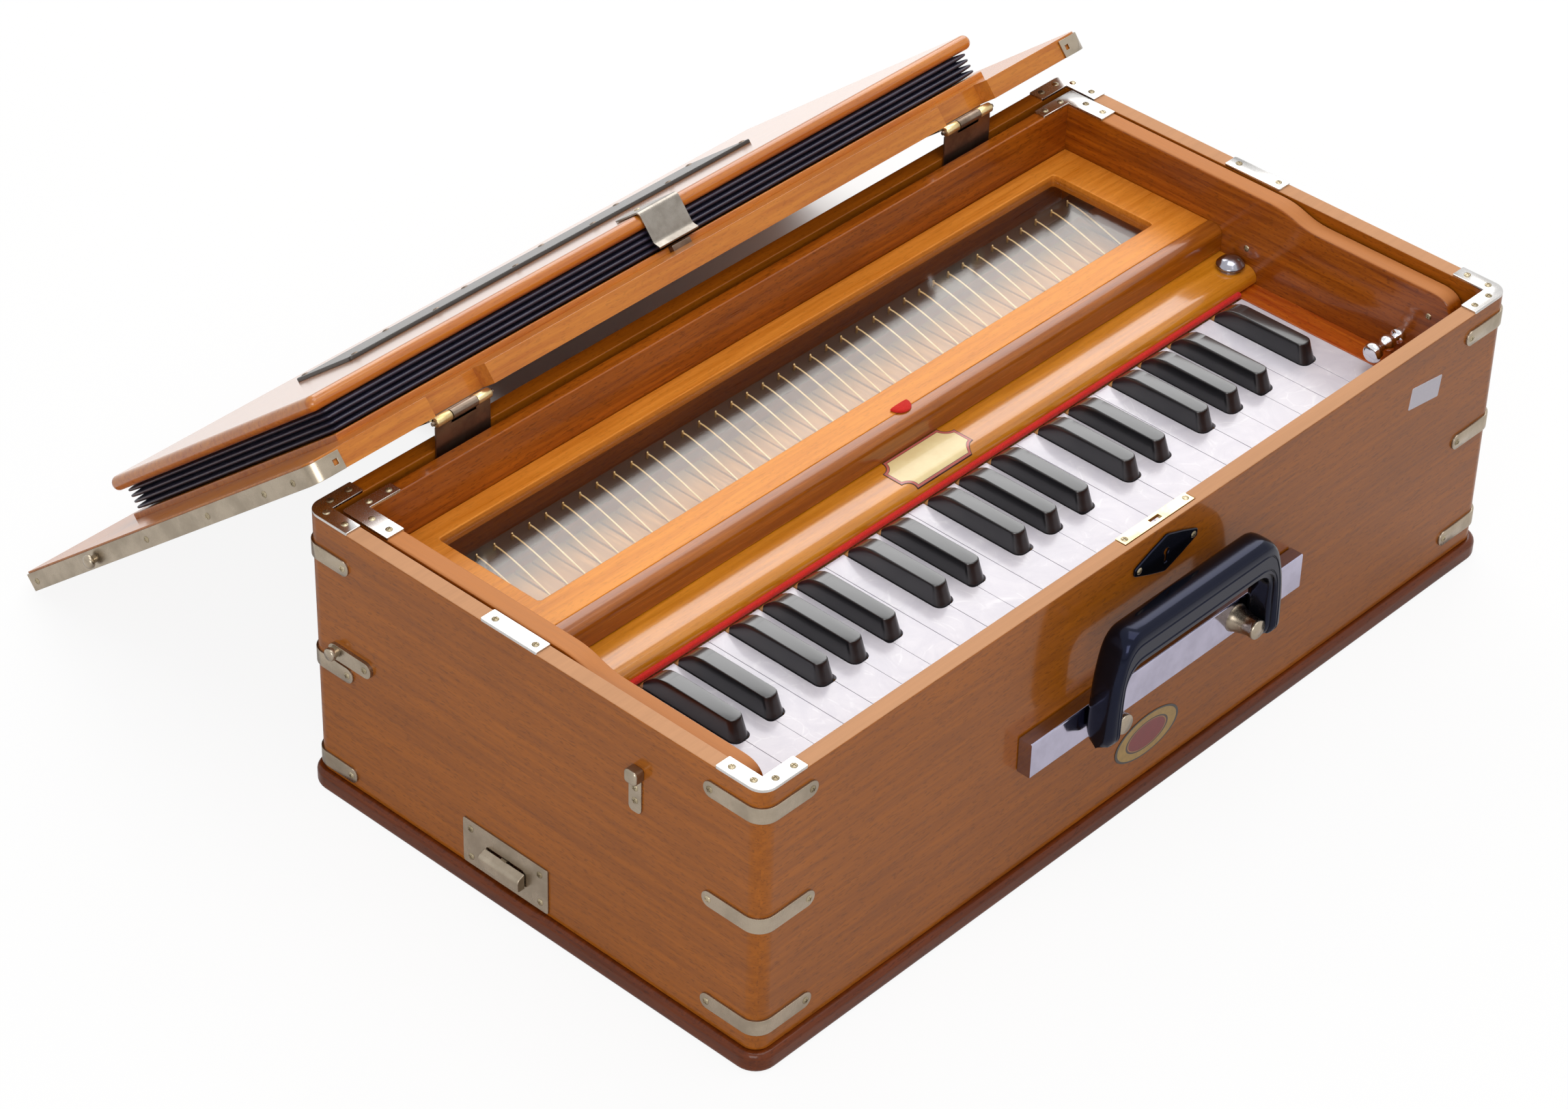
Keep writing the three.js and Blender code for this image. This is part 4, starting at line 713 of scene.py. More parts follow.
# %% Base
BASE_T, LIP, RUNNER_W = 12, 4, 18
footprint = box_outline((-LIP, CASE_W + LIP), (-LIP, CASE_D + LIP), 13, 8)
board = soften(prism("base_board", footprint, "z", 0, BASE_T), 3.4, 5, 50)
dress(board, lip_wood, "case", "case_wood", "case_base")
runners = [
    slab("runner", (x, x + RUNNER_W), (17, 298.6), (BASE_T - 0.6, 29.7)) for x in (36, 536)
]
runners = soften(joined("base_runners", *runners), 0.6)
dress(runners, body_wood_y, "case", "case_wood", "case_base")

# %% [markdown]
# Straps of sheet metal hold the case's corners. One is bent from an angle-shaped outline
# with a rounded corner, as tall as the strap, and the ends of its legs are made half round
# by bevelling their short edges with half the strap's height. The rear straps have shorter
# legs and sit a little lower. Those on the right are mirror images.

# %% Corner straps
STRAP_H, STRAP_OUT, LAP, SCREW_IN = 9.5, 1.2, 0.6, 4.2


def corner_strap(leg, middle):
    out, bend = -STRAP_OUT, CORNER_R + STRAP_OUT
    outline = [(out, out, bend), (leg, out, 0), (leg, LAP, 0), (LAP, LAP, CORNER_R - LAP)]
    outline += [(LAP, leg, 0), (out, leg, 0)]
    low, high = middle - STRAP_H / 2, middle + STRAP_H / 2
    piece = prism("strap", rounded(*outline, steps=8), "z", low, high)

    def level_end(a, b):
        at_end = min(a.x, b.x) > leg - 0.01 or min(a.y, b.y) > leg - 0.01
        return at_end and abs(a.z - b.z) < 0.01

    round_edges(piece, STRAP_H / 2 - 0.05, level_end)
    return soften(piece, 0.35, 2)


straps = []
for rear, leg, drop in ((False, 37.5, 0), (True, 32, 7.5)):
    for share in (0.0921, 0.495, 0.913):
        middle = WALLS_LOW + share * (TOP_Z - WALLS_LOW) - drop
        strap = corner_strap(leg, middle)
        if rear:
            front = strap
            strap = mirrored(front, "strap", "y", MID_Y)
            bpy.data.objects.remove(front)
        straps += [strap, mirrored(strap, "strap", "x", MID_X)]
        near = leg - SCREW_IN
        y_end, way = (CASE_D + STRAP_OUT, 1) if rear else (-STRAP_OUT, -1)
        y_side = CASE_D - near if rear else near
        note_screw("case", (near, y_end, middle), (0, way, 0))
        note_screw("case", (-STRAP_OUT, y_side, middle), (-1, 0, 0))
        note_screw("case", (CASE_W - near, y_end, middle), (0, way, 0))
        note_screw("case", (CASE_W + STRAP_OUT, y_side, middle), (1, 0, 0))
dress(joined("corner_straps", *straps), nickel, "case", "nickel", "case_walls")

# %% [markdown]
# The upper edge has an angle plate over each corner and a short plate in the middle of each
# side. They lie just over the wood, and their edges are hardly rounded.

# %% Edge plates
LEG, PLATE_R, PLATE_TOP = 31, 0.8, TOP_Z + STRAP_OUT
angle = [(0, 0, CORNER_R), (LEG, 0, PLATE_R), (LEG, WALL, PLATE_R), (WALL, WALL, 0)]
angle += [(WALL, LEG, PLATE_R), (0, LEG, PLATE_R)]
corner = prism("plate", rounded(*angle, steps=8), "z", TOP_Z - LAP, PLATE_TOP)
corners = [soften(corner, 0.35, 2), mirrored(corner, "plate", "x", MID_X)]
corners += [mirrored(plate, "plate", "y", MID_Y) for plate in corners]
straight = box_outline((0, WALL), (150, 189), PLATE_R, 2)
middle = soften(prism("plate", straight, "z", TOP_Z - LAP, PLATE_TOP), 0.35, 2)
plates = joined("edge_plates", *corners, middle, mirrored(middle, "plate", "x", MID_X))
dress(plates, bright_nickel, "case", "nickel", "case_walls")
for x, y in ((4.8, 24.7), (5.0, 10.8), (13.2, 4.6), (25.8, 4.6)):
    for across in (x, CASE_W - x):
        for deep in (y, CASE_D - y):
            note_screw("case", (across, deep, PLATE_TOP), (0, 0, 1))
for x, y in ((4.6, 182.9), (4.4, 154.9)):
    for across in (x, CASE_W - x):
        note_screw("case", (across, y, PLATE_TOP), (0, 0, 1))

# %% [markdown]
# On the left wall sit a slide latch with a thumb bar over its slot, a small hook with a
# square head, and a keeper with a round pin near the back. They are plates with softened
# edges. The bar's tongue is narrow enough to clear the ends of the slot as it slides.

# %% Latch, hook and keeper
latch_plate = prism("latch_plate", box_outline((143, 204), (14, 43), 1.5), "x", -1, LAP)
carve(latch_plate, prism("slot", box_outline((160.4, 187), (30.4, 32.7), 1.1), "x", -5, 5))
soften(latch_plate, 0.25, 2)
hook_strip = prism("strip", box_outline((78.1, 86.7), (119.2, 142), 3), "x", -1, LAP)
hook_head = prism("head", box_outline((76.8, 85.2), (140.4, 148.6), 2.4), "x", -6.2, LAP)
hook = joined("hook", soften(hook_strip, 0.3, 2), soften(hook_head, 1.3))
keeper_strip = box_outline((268.6, 300.1), (93.75, 103.25), 4.7)
keeper_strip = soften(prism("strip", keeper_strip, "x", -2.2, LAP), 0.3, 2)
pin_profile = [(0, 0), (0, 3), (-4, 3), (-4, 3.6), (-6, 3.6), (-6.7, 3), (-6.7, 0)]
keeper = joined("keeper", keeper_strip, turned("pin", pin_profile, "x", (0, 295.35, 98.5)))
fittings = joined("side_fittings", latch_plate, hook, keeper)
dress(fittings, nickel, "case", "nickel", "case_walls")
latch_screws = (198.4, 37.6), (198.2, 19.4), (148.8, 37.4), (148.5, 19.4)
hook_screws = (82.3, 134.5), (82.3, 126.6)
for y, z in latch_screws + hook_screws:
    note_screw("case", (-1, y, z), (-1, 0, 0))
note_screw("case", (-2.2, 273.4, 98.5), (-1, 0, 0))

thumb = rounded((-6.6, 22, 2), (-1.3, 22, 0), (-1.3, 31.6, 0), (-6.6, 29.4, 3))
bar = soften(prism("bar", thumb, "y", 159, 188), 0.6)
tongue = slab("tongue", (-1.9, 5), (171.8, 175.6), (30.7, 32.4))
dress(joined("latch_thumb", bar, tongue), nickel, "latch_tab", "nickel", "latch_tab")

# %% [markdown]
# The lock is a brass strip let into the upper edge of the front wall, with a slot for the
# lid's hasp. Its keyhole is covered by a pointed black escutcheon.

# %% Lock and escutcheon
lock_strip = slab("lock_strip", (268, 323), (3.6, 10.5), (174.95, TOP_Z))
lock_case = slab("lock_case", (273, 318), (3.6, 10.5), (143.35, TOP_Z - 1))
slot = slab("slot", (291.5, 299.5), (5.6, 8.6), (168.4, 200))
lock = soften(carve(joined("lock", lock_strip, lock_case), slot), 0.2, 2)
dress(lock, brass, "case", "brass", "lock_plate")
for x in (271.2, 319.8):
    note_screw("case", (x, 7, TOP_Z - 0.15), (0, 0, 1))

KEYHOLE_X, KEYHOLE_Z = 296, 160
half = [(-25, -2.2, 1.4), (-12.5, -7.4, 8), (0, -11.8, 3.5), (12.5, -7.4, 8), (25, -2.2, 1.4)]
shield = half + [(-u, -v, r) for u, v, r in half]
shield = rounded(*[(KEYHOLE_X + u, KEYHOLE_Z + v, r) for u, v, r in shield])
escutcheon = prism("escutcheon", shield, "y", -1.8, -0.3)
keyhole = prism("keyhole", disc(KEYHOLE_X, KEYHOLE_Z + 1, 2), "y", -9, 9)
blade = slab("blade", (KEYHOLE_X - 1, KEYHOLE_X + 1), (-9, 9), (154, 160.5))
soften(carve(escutcheon, keyhole, blade), 0.5, 3)
for x in (274.4, 317.6):
    note_screw("case", (x, -1.7, KEYHOLE_Z), (0, -1, 0))

# %% [markdown]
# The escutcheon and the handle's grip are the same glossy black moulding with a slight
# orange peel. It is nearly black, so its form shows only in what it mirrors. The shine is
# tinted a cold blue, as on the real one, and a little unevenness in the roughness keeps
# the reflection from looking like glass.

# %% Black plastic
plastic = Finish(
    "black_plastic", coat_weight=0.15, coat_roughness=0.08, specular_ior_level=0.25
)
where = plastic.place()
mottle = plastic.noise(where, 120, 3)
plastic.set(
    base_color=plastic.mix(mottle, paint("06070c"), paint("0c0d12")),
    specular_tint=paint("98a8ff"),
    roughness=mottle * 0.08 + 0.13,
    normal=plastic.bump(plastic.noise(where, 900, 2), 0.03, 0.3),
)
dress(escutcheon, plastic, "case", "black_plastic", "lock_escutcheon")

# %% [markdown]
# The handle is carried by a plated rail screwed to the front and by two turned posts. A
# thin pin runs from each post into the grip's foot, and the grip swings on these pins.

# %% Handle rail and posts
GRIP_X, GRIP_Y, GRIP_Z, POST_OUT = 298, -18.5, 91, 54

rail = prism("rail", box_outline((-9, -0.3), (80, 102), 0.9, 3), "x", 188, 408)
soften(rail, 0.35, 2, 50)
post_profile = [(0, 0), (0, 8.2), (-0.8, 8.2), (-2.5, 7.3), (-8, 6.0), (-12.6, 5.2)]
post_profile += [(-13.2, 5.7), (-15.4, 5.7), (-15.9, 5.2), (-15.9, 0)]
post = turned("post", post_profile, "y", (GRIP_X - POST_OUT, -8.6, GRIP_Z), 40)
pin_profile = [(0, 0), (0, 2.6), (-13, 2.6), (-13, 0)]
pin = turned("pin", pin_profile, "x", (GRIP_X - POST_OUT, GRIP_Y, GRIP_Z))
left = joined("post_left", post, pin)
right = mirrored(left, "post_right", "x", GRIP_X)
# The rail's chrome is painted darker and a little violet, as a painted reflection of a dimmer
# surround.
chrome_painted_dim = metal("chrome_painted_dim", "b9b6cb", "aaa7bb", 0.07, 0.05, 0.04)
dress(rail, chrome_painted_dim, "case", "chrome", "handle_bar")
dress(joined("handle_posts", left, right), nickel, "case", "chrome", "handle_bar")

# %% [markdown]
# The grip is lofted: one section, with a crowned back, two fine grooves and a slimmer lip,
# is carried up a leg, round the corner and along the beam. Each section leans with the
# path, and the feet narrow as if turned round the pins' axis. The path is the grip's
# outside and inside in a side view, measured from that axis.


# %% Handle grip
def resample(points, count):
    """The same path with a number of evenly spaced points."""
    lengths = [0]
    for here, after in zip(points, points[1:]):
        lengths.append(lengths[-1] + math.dist(here, after))
    spots = np.linspace(0, lengths[-1], count)
    return [tuple(np.interp(t, lengths, [q[k] for q in points]) for k in (0, 1)) for t in spots]


GRIP_HALF = 9.1
leg_out = [(70.3, -GRIP_HALF), (70.3, 0)]
leg_out += sweep((70.3, 0), (69.6, 14), (69, 26), (66.2, 36), 8)
leg_in = [(59.3, -GRIP_HALF), (59.3, 24)]
corner_out = sweep((66.2, 36), (62.6, 48), (61.5, 58.5), (50, 58.5), 12)
corner_in = sweep((59.3, 24), (59.3, 31), (54, 35.5), (47, 35.5), 12)
beam_out, beam_in = [(50, 58.5), (0, 58.5)], [(47, 35.5), (0, 35.5)]
stations = []
for outside, inside, count in (
    (leg_out, leg_in, 16),
    (corner_out, corner_in, 12),
    (beam_out, beam_in, 8),
):
    pairs = list(zip(resample(outside, count), resample(inside, count)))
    stations += pairs if not stations else pairs[1:]
stations += [((-ox, oz), (-ix, iz)) for (ox, oz), (ix, iz) in reversed(stations[:-1])]


def grip_section(outside, inside):
    """One ring of the grip: a crowned back, two fine grooves and a slimmer lip inside."""
    thick = math.dist(outside, inside)
    lip = 0.12 * thick + 1.2
    side = [(0, 1.5), (0.15, 4.2), (0.8, 6.6), (2.0, 8.2), (3.6, 8.95)]
    for groove in (3.6 + 0.16 * thick, thick - lip - 0.14 * thick):
        side += [(groove - 0.7, GRIP_HALF), (groove - 0.15, 8.55)]
        side += [(groove + 0.15, 8.55), (groove + 0.7, GRIP_HALF)]
    step = thick - lip
    side += [(step - 0.7, 9.0), (step - 0.1, 8.3), (step + 0.1, 6.9), (thick - 1.0, 6.5)]
    side += [(thick - 0.2, 5.7), (thick, 4.6), (thick, 1.5)]
    ring = []
    for depth, y in side + [(depth, -y) for depth, y in reversed(side)]:
        share = min(max(depth / thick, 0), 1)
        x = outside[0] + share * (inside[0] - outside[0])
        z = outside[1] + share * (inside[1] - outside[1])
        room = math.sqrt(max(GRIP_HALF**2 - min(z, 0) ** 2, 0.04)) / GRIP_HALF
        ring.append((GRIP_X + x, GRIP_Y - y * room, GRIP_Z + z))
    return ring


grip = smooth(lofted("handle_bow", [grip_section(*pair) for pair in stations]), 35)
dress(grip, plastic, "handle_grip", "black_plastic", "handle_grip")

# %% [markdown]
# The rest of the woodwork is the instrument itself, which lifts out of the case. Each board
# is its own block, so a glued joint shows where two boards meet and the grain can run along
# each. The cheeks have a side view with a long double curve, drawn with a Bezier, and
# rounded arrises.

# %% Inner body
BODY_TOP, BODY_LOW, CHEEK, BODY_MID = 177, 30, 11.8, 295.5
BETWEEN_CHEEKS = (23.5, 567.5)
cheek_side = [(20, BODY_LOW), (300.8, BODY_LOW), (300.8, BODY_TOP)]
cheek_side += sweep((147, BODY_TOP), (129, BODY_TOP), (129, 171), (111, 171))
cheek_side += sweep((34, 171), (24.7, 171), (20, 166.3), (20, 157), 8)
cheek_left = soften(prism("cheek_left", cheek_side, "x", 12, 12 + CHEEK), 1.6, 4, 50)
cheek_right = mirrored(cheek_left, "cheek_right", "x", BODY_MID)
for piece in (cheek_left, cheek_right):
    dress(piece, body_wood_y, "inner_body", "body_wood", "inner_body")

rear_rail = soften(slab("rear_rail", BETWEEN_CHEEKS, (293, 300.8), (BODY_LOW, BODY_TOP)), 0.8, 3)
front_rail = soften(slab("front_rail", BETWEEN_CHEEKS, (21.6, 32), (BODY_LOW, 108)), 1.0, 3)
keybed = slab("keybed", BETWEEN_CHEEKS, (31.4, 293.4), (84, 94))
balance = slab("balance", BETWEEN_CHEEKS, (197, 203), (93.4, 102.7))
keybed = soften(joined("keybed", keybed, balance), 0.5, 2)
for piece in (rear_rail, front_rail, keybed):
    dress(piece, body_wood_x, "inner_body", "body_wood", "inner_body")
blocks = [
    soften(slab("block", span, (31.4, 184), (93.4, 121)), 0.7, 3)
    for span in ((23.5, 52), (550.3, 567.5))
]
dress(joined("end_blocks", *blocks), block_wood, "inner_body", "body_wood", "inner_body")

# %% [markdown]
# Two angle plates tie the cheeks to the rear board, and a turned chrome knob lies over the
# right end of the keys. Its profile is typed as shares of its length and radius, from a
# round nose over two beads to the flat end.

# %% Inner body's fittings
ANGLE_TOP = BODY_TOP + STRAP_OUT
rear_angle = [(12, 267.8, 0.8), (23.8, 267.8, 0.8), (23.8, 293, 0), (45, 293, 0.8)]
rear_angle += [(45, 300.8, 0.8), (12, 300.8, 1.5)]
angle_left = prism("angle", rounded(*rear_angle), "z", BODY_TOP - LAP, ANGLE_TOP)
soften(angle_left, 0.3, 2)
angles = joined("rear_angles", angle_left, mirrored(angle_left, "angle", "x", BODY_MID))
dress(angles, bright_nickel, "inner_body", "nickel", "inner_body")
for x, y in ((17.8, 272.5), (17.8, 285), (26.5, 296.9), (40, 296.9)):
    for across in (x, 2 * BODY_MID - x):
        note_screw("inner_body", (across, y, ANGLE_TOP), (0, 0, 1))
for y, z in ((159.1, 140.9), (34.4, 154.9)):
    note_screw("inner_body", (567.2, y, z), (-1, 0, 0))

KNOB_LONG, KNOB_R = 27, 6
knob_profile = [(0, 0), (0, 0.6), (0.02, 0.82), (0.06, 0.96), (0.12, 1), (0.17, 0.97)]
knob_profile += [(0.21, 0.86), (0.25, 0.6), (0.29, 0.5), (0.4, 0.48), (0.46, 0.58)]
knob_profile += [(0.5, 0.74), (0.56, 0.83), (0.62, 0.84), (0.68, 0.76), (0.73, 0.6)]
knob_profile += [(0.8, 0.46), (0.88, 0.44), (0.9, 0.7), (0.91, 0.74), (1.0, 0.74), (1.0, 0)]
knob_profile = [(a * KNOB_LONG, r * KNOB_R) for a, r in knob_profile]
pull = turned("pull_knob", knob_profile, "x", (540.2, 51.5, 134.5), 40)
dress(pull, chrome, "inner_body", "chrome", "inner_body")

# %% [markdown]
# The deck carries the window. Its front edge is a separate rounded moulding, glued on with
# a visible seam, and below it lies the key cover, a rail with a round nose. The deck is
# painted paler than the body, as painted light, for it lies flat under the light, and its
# shine is a warm one. The moulding is painted darker, as painted shade where it turns down.
# A domed chrome knob stands on the cover's right end.

# %% Deck, moulding and key cover
DECK_SPAN, DECK_LOW, DECK_TOP = (24.1, 566.9), 139.5, 147.5
COVER_LOW, COVER_TOP = 121.3, 131

# Paler colours than the body's wood: painted light on the flat deck.
deck_wood = varnished("deck_wood", "c8731a", "e59134", coat=0.0, pores=0.2, gloss=0.7)
deck_wood.set(specular_tint=paint("ffc890"))
rail_wood = varnished(
    "rail_wood", "c0740c", "df9024", rough=0.22, coat=0.9, pores=0.15, gloss=0.35
)
# Darker colours: painted shade on the moulding, where it turns down.
shade_wood = varnished(
    "shade_wood", "8a4608", "b26412", rough=0.26, coat=0.45, pores=0.15, gloss=0.35
)
deck = slab("deck", DECK_SPAN, (187, 292.7), (DECK_LOW, DECK_TOP))
window = prism("window", box_outline((57, 541), (206.3, 279.3), 2), "z", 100, 200)
soften(carve(deck, window), 0.7, 3, 50)
dress(deck, deck_wood, "inner_body", "deck_wood", "deck_board")
profile = rounded(
    (176.7, 131.3, 0.6), (186.9, 131.3, 0), (186.9, DECK_TOP, 0.4), (176.7, DECK_TOP, 6)
)
moulding = smooth(prism("deck_moulding", profile, "x", *DECK_SPAN))
dress(moulding, shade_wood, "inner_body", "deck_wood", "deck_board")
profile = rounded(
    (150, COVER_LOW, 2), (184, COVER_LOW, 0), (184, COVER_TOP, 0.5), (150, COVER_TOP, 7), steps=10
)
cover = smooth(prism("key_cover_rail", profile, "x", *DECK_SPAN))
dress(cover, rail_wood, "inner_body", "deck_wood", "key_cover")
dome = [(-0.5, 0), (-0.5, 7.1), (0.9, 7.1), (1.3, 7.9), (1.8, 8.3), (2.7, 8.3), (3.3, 7.9)]
dome += [(3.8, 7.2), (4.9, 6.4), (5.9, 5.0), (6.6, 3.1), (6.9, 1.5), (7, 0)]
knob = turned("cover_knob", dome, "z", (557.9, 162.5, COVER_TOP), 40)
dull_chrome = metal("dull_chrome", "aaaab3", "90909a", 0.12, 0.06, 0.05)
dress(knob, dull_chrome, "inner_body", "chrome", "key_cover")

# %% [markdown]
# Felt is the opposite of varnish: no gloss, a tangle of fibres, and a fuzzy edge. The
# strip behind the keys is a soft rounded bar with a fine bump of crossed noises, and sheen,
# which brightens cloth where it turns away. A small tab of the same felt lies on the deck's
# front edge.

# %% Felt
felt = Finish(
    "felt", roughness=0.95, specular_ior_level=0.1, sheen_weight=0.15, sheen_roughness=0.5
)
where = felt.place()
fibres = felt.noise(where, 1600, 4, 0.7, 1.5)
patches = felt.noise(where, 140, 3)
ground = felt.mix(patches, paint("b81410"), paint("cc1c16"))
felt.set(
    base_color=felt.mix(fibres.step(0.3, 0.7), ground, paint("e0342a")),
    normal=felt.bump(fibres + patches * 0.6, 0.35, 0.8),
)
profile = rounded(
    (147.3, COVER_LOW, 0.8), (150.4, COVER_LOW, 0.8), (150.4, 124.4, 1.2), (147.3, 124.4, 1.2)
)
strip = smooth(prism("key_felt", profile, "x", DECK_SPAN[0], 550), 60)
dress(strip, felt, "inner_body", "felt", "felt_strip")
tab_profile = [(0.02, 0), (0.02, 6.2), (0.5, 6.7), (1.1, 6.5), (1.5, 5.6), (1.7, 3), (1.75, 0)]
tab = turned("felt_tab", tab_profile, "z", (308.5, 190.2, DECK_TOP), 32)
carve(tab, slab("behind", (290, 330), (190.6, 215), (140, 160)))
dress(smooth(tab, 50), felt, "inner_body", "felt", "deck_board")

# %% [markdown]
# The white keys are covered with pearly plastic, milky with fine pale veins, and the black
# ones with satin lacquer. Both run on behind as bare wooden levers, so one material does
# plate and wood: it changes behind the plate and, on a white key, below it. Towards their
# far ends the levers are painted darker, as painted shade of the spring rail.


# %% Ivory and ebony
def depth(y):
    """A distance behind the front, in millimetres, as Object coordinates count it."""
    return (y - MID_Y) * MM


def lever_wood_and_shade(finish, y):
    grain = finish.noise(finish.place(scale=(1, 0.05, 1)), 420, 3).step(0.3, 0.7)
    wood = finish.mix(grain, paint("c08a48"), paint("dba763"))
    # Painted shade: behind the spring rail the lever is mixed towards dark brown.
    return finish.mix(y.step(depth(240), depth(266)) * 0.75, wood, paint("3a2a1c"))


ivory = Finish("ivory", coat_roughness=0.08, ior=1.5)
where = ivory.place()
_, y, z = ivory.split(where)
is_plate = y.under(depth(147.2)) * z.over(118.5 * MM)
veil = ivory.noise(where, 42, 5, 0.62, 1.6)
slanted = {"turn": (0, 0, 0.5), "scale": (1, 0.45, 1)}
drift = ivory.place(of=ivory.noise(where, 12, 2).out(1), **slanted)
crackle = ivory.cells(
    ivory.either(0.12, ivory.place(**slanted), drift), 75, feature="DISTANCE_TO_EDGE"
)
veins = (1 - crackle.step(0.0, 0.05)) * veil.step(0.45, 0.65)
pearl = ivory.mix(veil.step(0.3, 0.7), paint("d5d1da"), paint("dfdbe2"))
pearl = ivory.mix(veins * 0.5, pearl, paint("f2f0f4"))
ivory.set(
    base_color=ivory.mix(is_plate, lever_wood_and_shade(ivory, y), pearl),
    roughness=is_plate * -0.37 + 0.55 + veil * 0.08,
    coat_weight=is_plate * 0.15,
    normal=ivory.bump((veil + crackle * 0.5) * is_plate, 0.03, 0.25),
)
ebony = Finish("ebony", coat_weight=0.75, coat_roughness=0.16, ior=1.5)
y = ebony.split(ebony.place())[1]
satin = ebony.noise(ebony.place(scale=(1, 0.12, 1)), 520, 3)
black = ebony.mix(satin, paint("08080b"), paint("100f13"))
ebony.set(
    base_color=ebony.mix(y.under(depth(144.2)), lever_wood_and_shade(ebony, y), black),
    roughness=satin * 0.1 + 0.27,
    normal=ebony.bump(satin, 0.02, 0.3),
)
print("plate in front of", round(depth(147.2), 4), "and above", round(118.5 * MM, 4))

# %% [markdown]
# A white key is a plate on a wooden stem. The plate is as wide as the key in front and
# narrows beside the black keys, so its outline is worked out from where the two
# neighbouring black keys stand. A black key's head is a loft of rounded rectangles, each a
# little smaller than the one below. Both end in a lever under the window.

# %% Key shapes
KEYS_X0, KEYS_X1, WHITES = 52.3, 550.0, 23
PITCH = (KEYS_X1 - KEYS_X0) / WHITES
NOTCH, GAP, NOTCH_R = 80.0, 0.24, 4.6


def lever(name, x, start):
    side = [(start, 103), (262, 103), (262, 116), (205, 116), (202.5, 118.5), (start, 118.5)]
    return soften(prism(name, side, "x", x[0] + 0.4, x[1] - 0.4), 0.25, 1, shade=False)


def white_key(number, head, tail):
    def plan(inset, front, rear):
        (h0, h1), (t0, t1) = (head[0] + inset, head[1] - inset), tail
        outline = [(h0, front, 0.8), (h1, front, 0.8)]
        if t1 < h1:
            outline += [(h1, NOTCH, 0), (t1, NOTCH, min(NOTCH_R, h1 - t1 - 0.1))]
        outline += [(t1, rear, 0), (t0, rear, 0)]
        if t0 > h0:
            outline += [(t0, NOTCH, min(NOTCH_R, t0 - h0 - 0.1)), (h0, NOTCH, 0)]
        return rounded(*outline, steps=5)

    plate = soften(prism("plate", plan(0, 36, 146.8), "z", 118.6, 121), 0.3, 2, 50)
    stem = prism("stem", plan(0.4, 37.2, 144), "z", 103, 118.7)
    name = f"key_white_{number:02d}"
    key = joined(f"ivory_{number:02d}", plate, stem, lever("lever", tail, NOTCH))
    dress(key, ivory, name, "ivory", name)


def black_head():
    """One black key's head: rings of its plan, from the foot up to the flat top."""
    rings = []
    for z, half, front, rear, nose in (
        (103, 6, 80.6, 146.6, 4.9),
        (121.0, 6, 80.6, 146.6, 4.9),
        (121.6, 5.9, 80.9, 146.2, 4.8),
        (123.5, 5.72, 81.6, 145.0, 4.6),
        (126.5, 5.4, 82.7, 142.4, 4.3),
        (129.5, 5.08, 83.7, 138.8, 4.0),
        (131.4, 4.88, 84.3, 135.4, 3.9),
        (132.1, 4.76, 84.6, 132.2, 3.8),
        (132.4, 4.58, 84.9, 130.2, 3.7),
        (132.5, 4.3, 85.3, 128.8, 3.5),
    ):
        x0, x1 = MID_X - half, MID_X + half
        corners = [(x0, front, nose), (x1, front, nose), (x1, rear, 0.5), (x0, rear, 0.5)]
        rings.append([(x, y, z) for x, y in rounded(*corners, steps=7)])
    return smooth(lofted("head", rings), 32)


print("one white key is", round(PITCH, 2), "mm wide")

# %% [markdown]
# The keyboard is laid out from the left. SHIFT names the white keys of an octave that a
# black one follows, and says how far that one stands to the side of their joint, as a share
# of a white key's width. The middle of each key is kept for the springs.

# %% Keys
SHIFT = {0: -0.02, 1: 0.152, 3: -0.148, 4: 0.004, 5: 0.196}
SIDE_ROOM = 6.5


def at_key(piece, name, x):
    """A copy of something modelled on the middle plane, moved to a place x."""
    return twin(piece, name, Matrix.Translation(((x - MID_X) * MM, 0, 0)))


pattern = black_head()
before, blacks, key_middles = None, 0, []
for i in range(WHITES):
    x0 = KEYS_X0 + i * PITCH
    after = SHIFT.get(i % 7) if i + 1 < WHITES else None
    left = x0 + GAP / 2 if before is None else x0 + before * PITCH + SIDE_ROOM
    right = x0 + PITCH - GAP / 2 if after is None else x0 + (1 + after) * PITCH - SIDE_ROOM
    white_key(i + 1, (x0 + GAP / 2, x0 + PITCH - GAP / 2), (left, right))
    key_middles.append((left + right) / 2)
    if after is not None:
        blacks += 1
        middle = x0 + (1 + after) * PITCH
        key_middles.append(middle)
        head = at_key(pattern, "head", middle)
        key = joined(f"ebony_{blacks:02d}", head, lever("lever", (middle - 6, middle + 6), 143))
        dress(key, ebony, f"key_black_{blacks:02d}", "ebony", f"key_black_{blacks:02d}")
    before = after
bpy.data.objects.remove(pattern)
print("keys:", WHITES, "white,", blacks, "black")

# %% [markdown]
# Under the glass a dark rail carries a brass pin and a fine wire for each key. The wires
# press the levers down behind their pivots. Pin and wire are modelled once and copied to
# each key's middle, then joined, for none of them moves.


# %% Spring rail
def tube(name, points, radius, sides=6):
    """A thin wire along points in the plane of y and z."""
    rings = []
    for i, (y, z) in enumerate(points):
        (y0, z0), (y1, z1) = points[max(i - 1, 0)], points[min(i + 1, len(points) - 1)]
        run = Vector((y1 - y0, z1 - z0)).normalized()
        circle = disc(0, 0, radius, sides)
        rings.append([(MID_X + u, y - v * run.y, z + v * run.x) for u, v in circle])
    return smooth(lofted(name, rings), 60)


# The rail's wood is given a near-black colour.
lined = Finish("dark_rail_wood", roughness=0.55)
grain = lined.noise(lined.place(scale=(0.05, 1, 1)), 500, 3)
lined.set(
    base_color=lined.mix(grain, paint("1b1410"), paint("35271c")),
    normal=lined.bump(grain, 0.05, 0.4),
)
rail = soften(slab("spring_rail_bar", DECK_SPAN, (264, 276), (122.2, 130.2)), 0.6, 2)
dress(rail, lined, "inner_body", "dark_steel", "spring_rail")

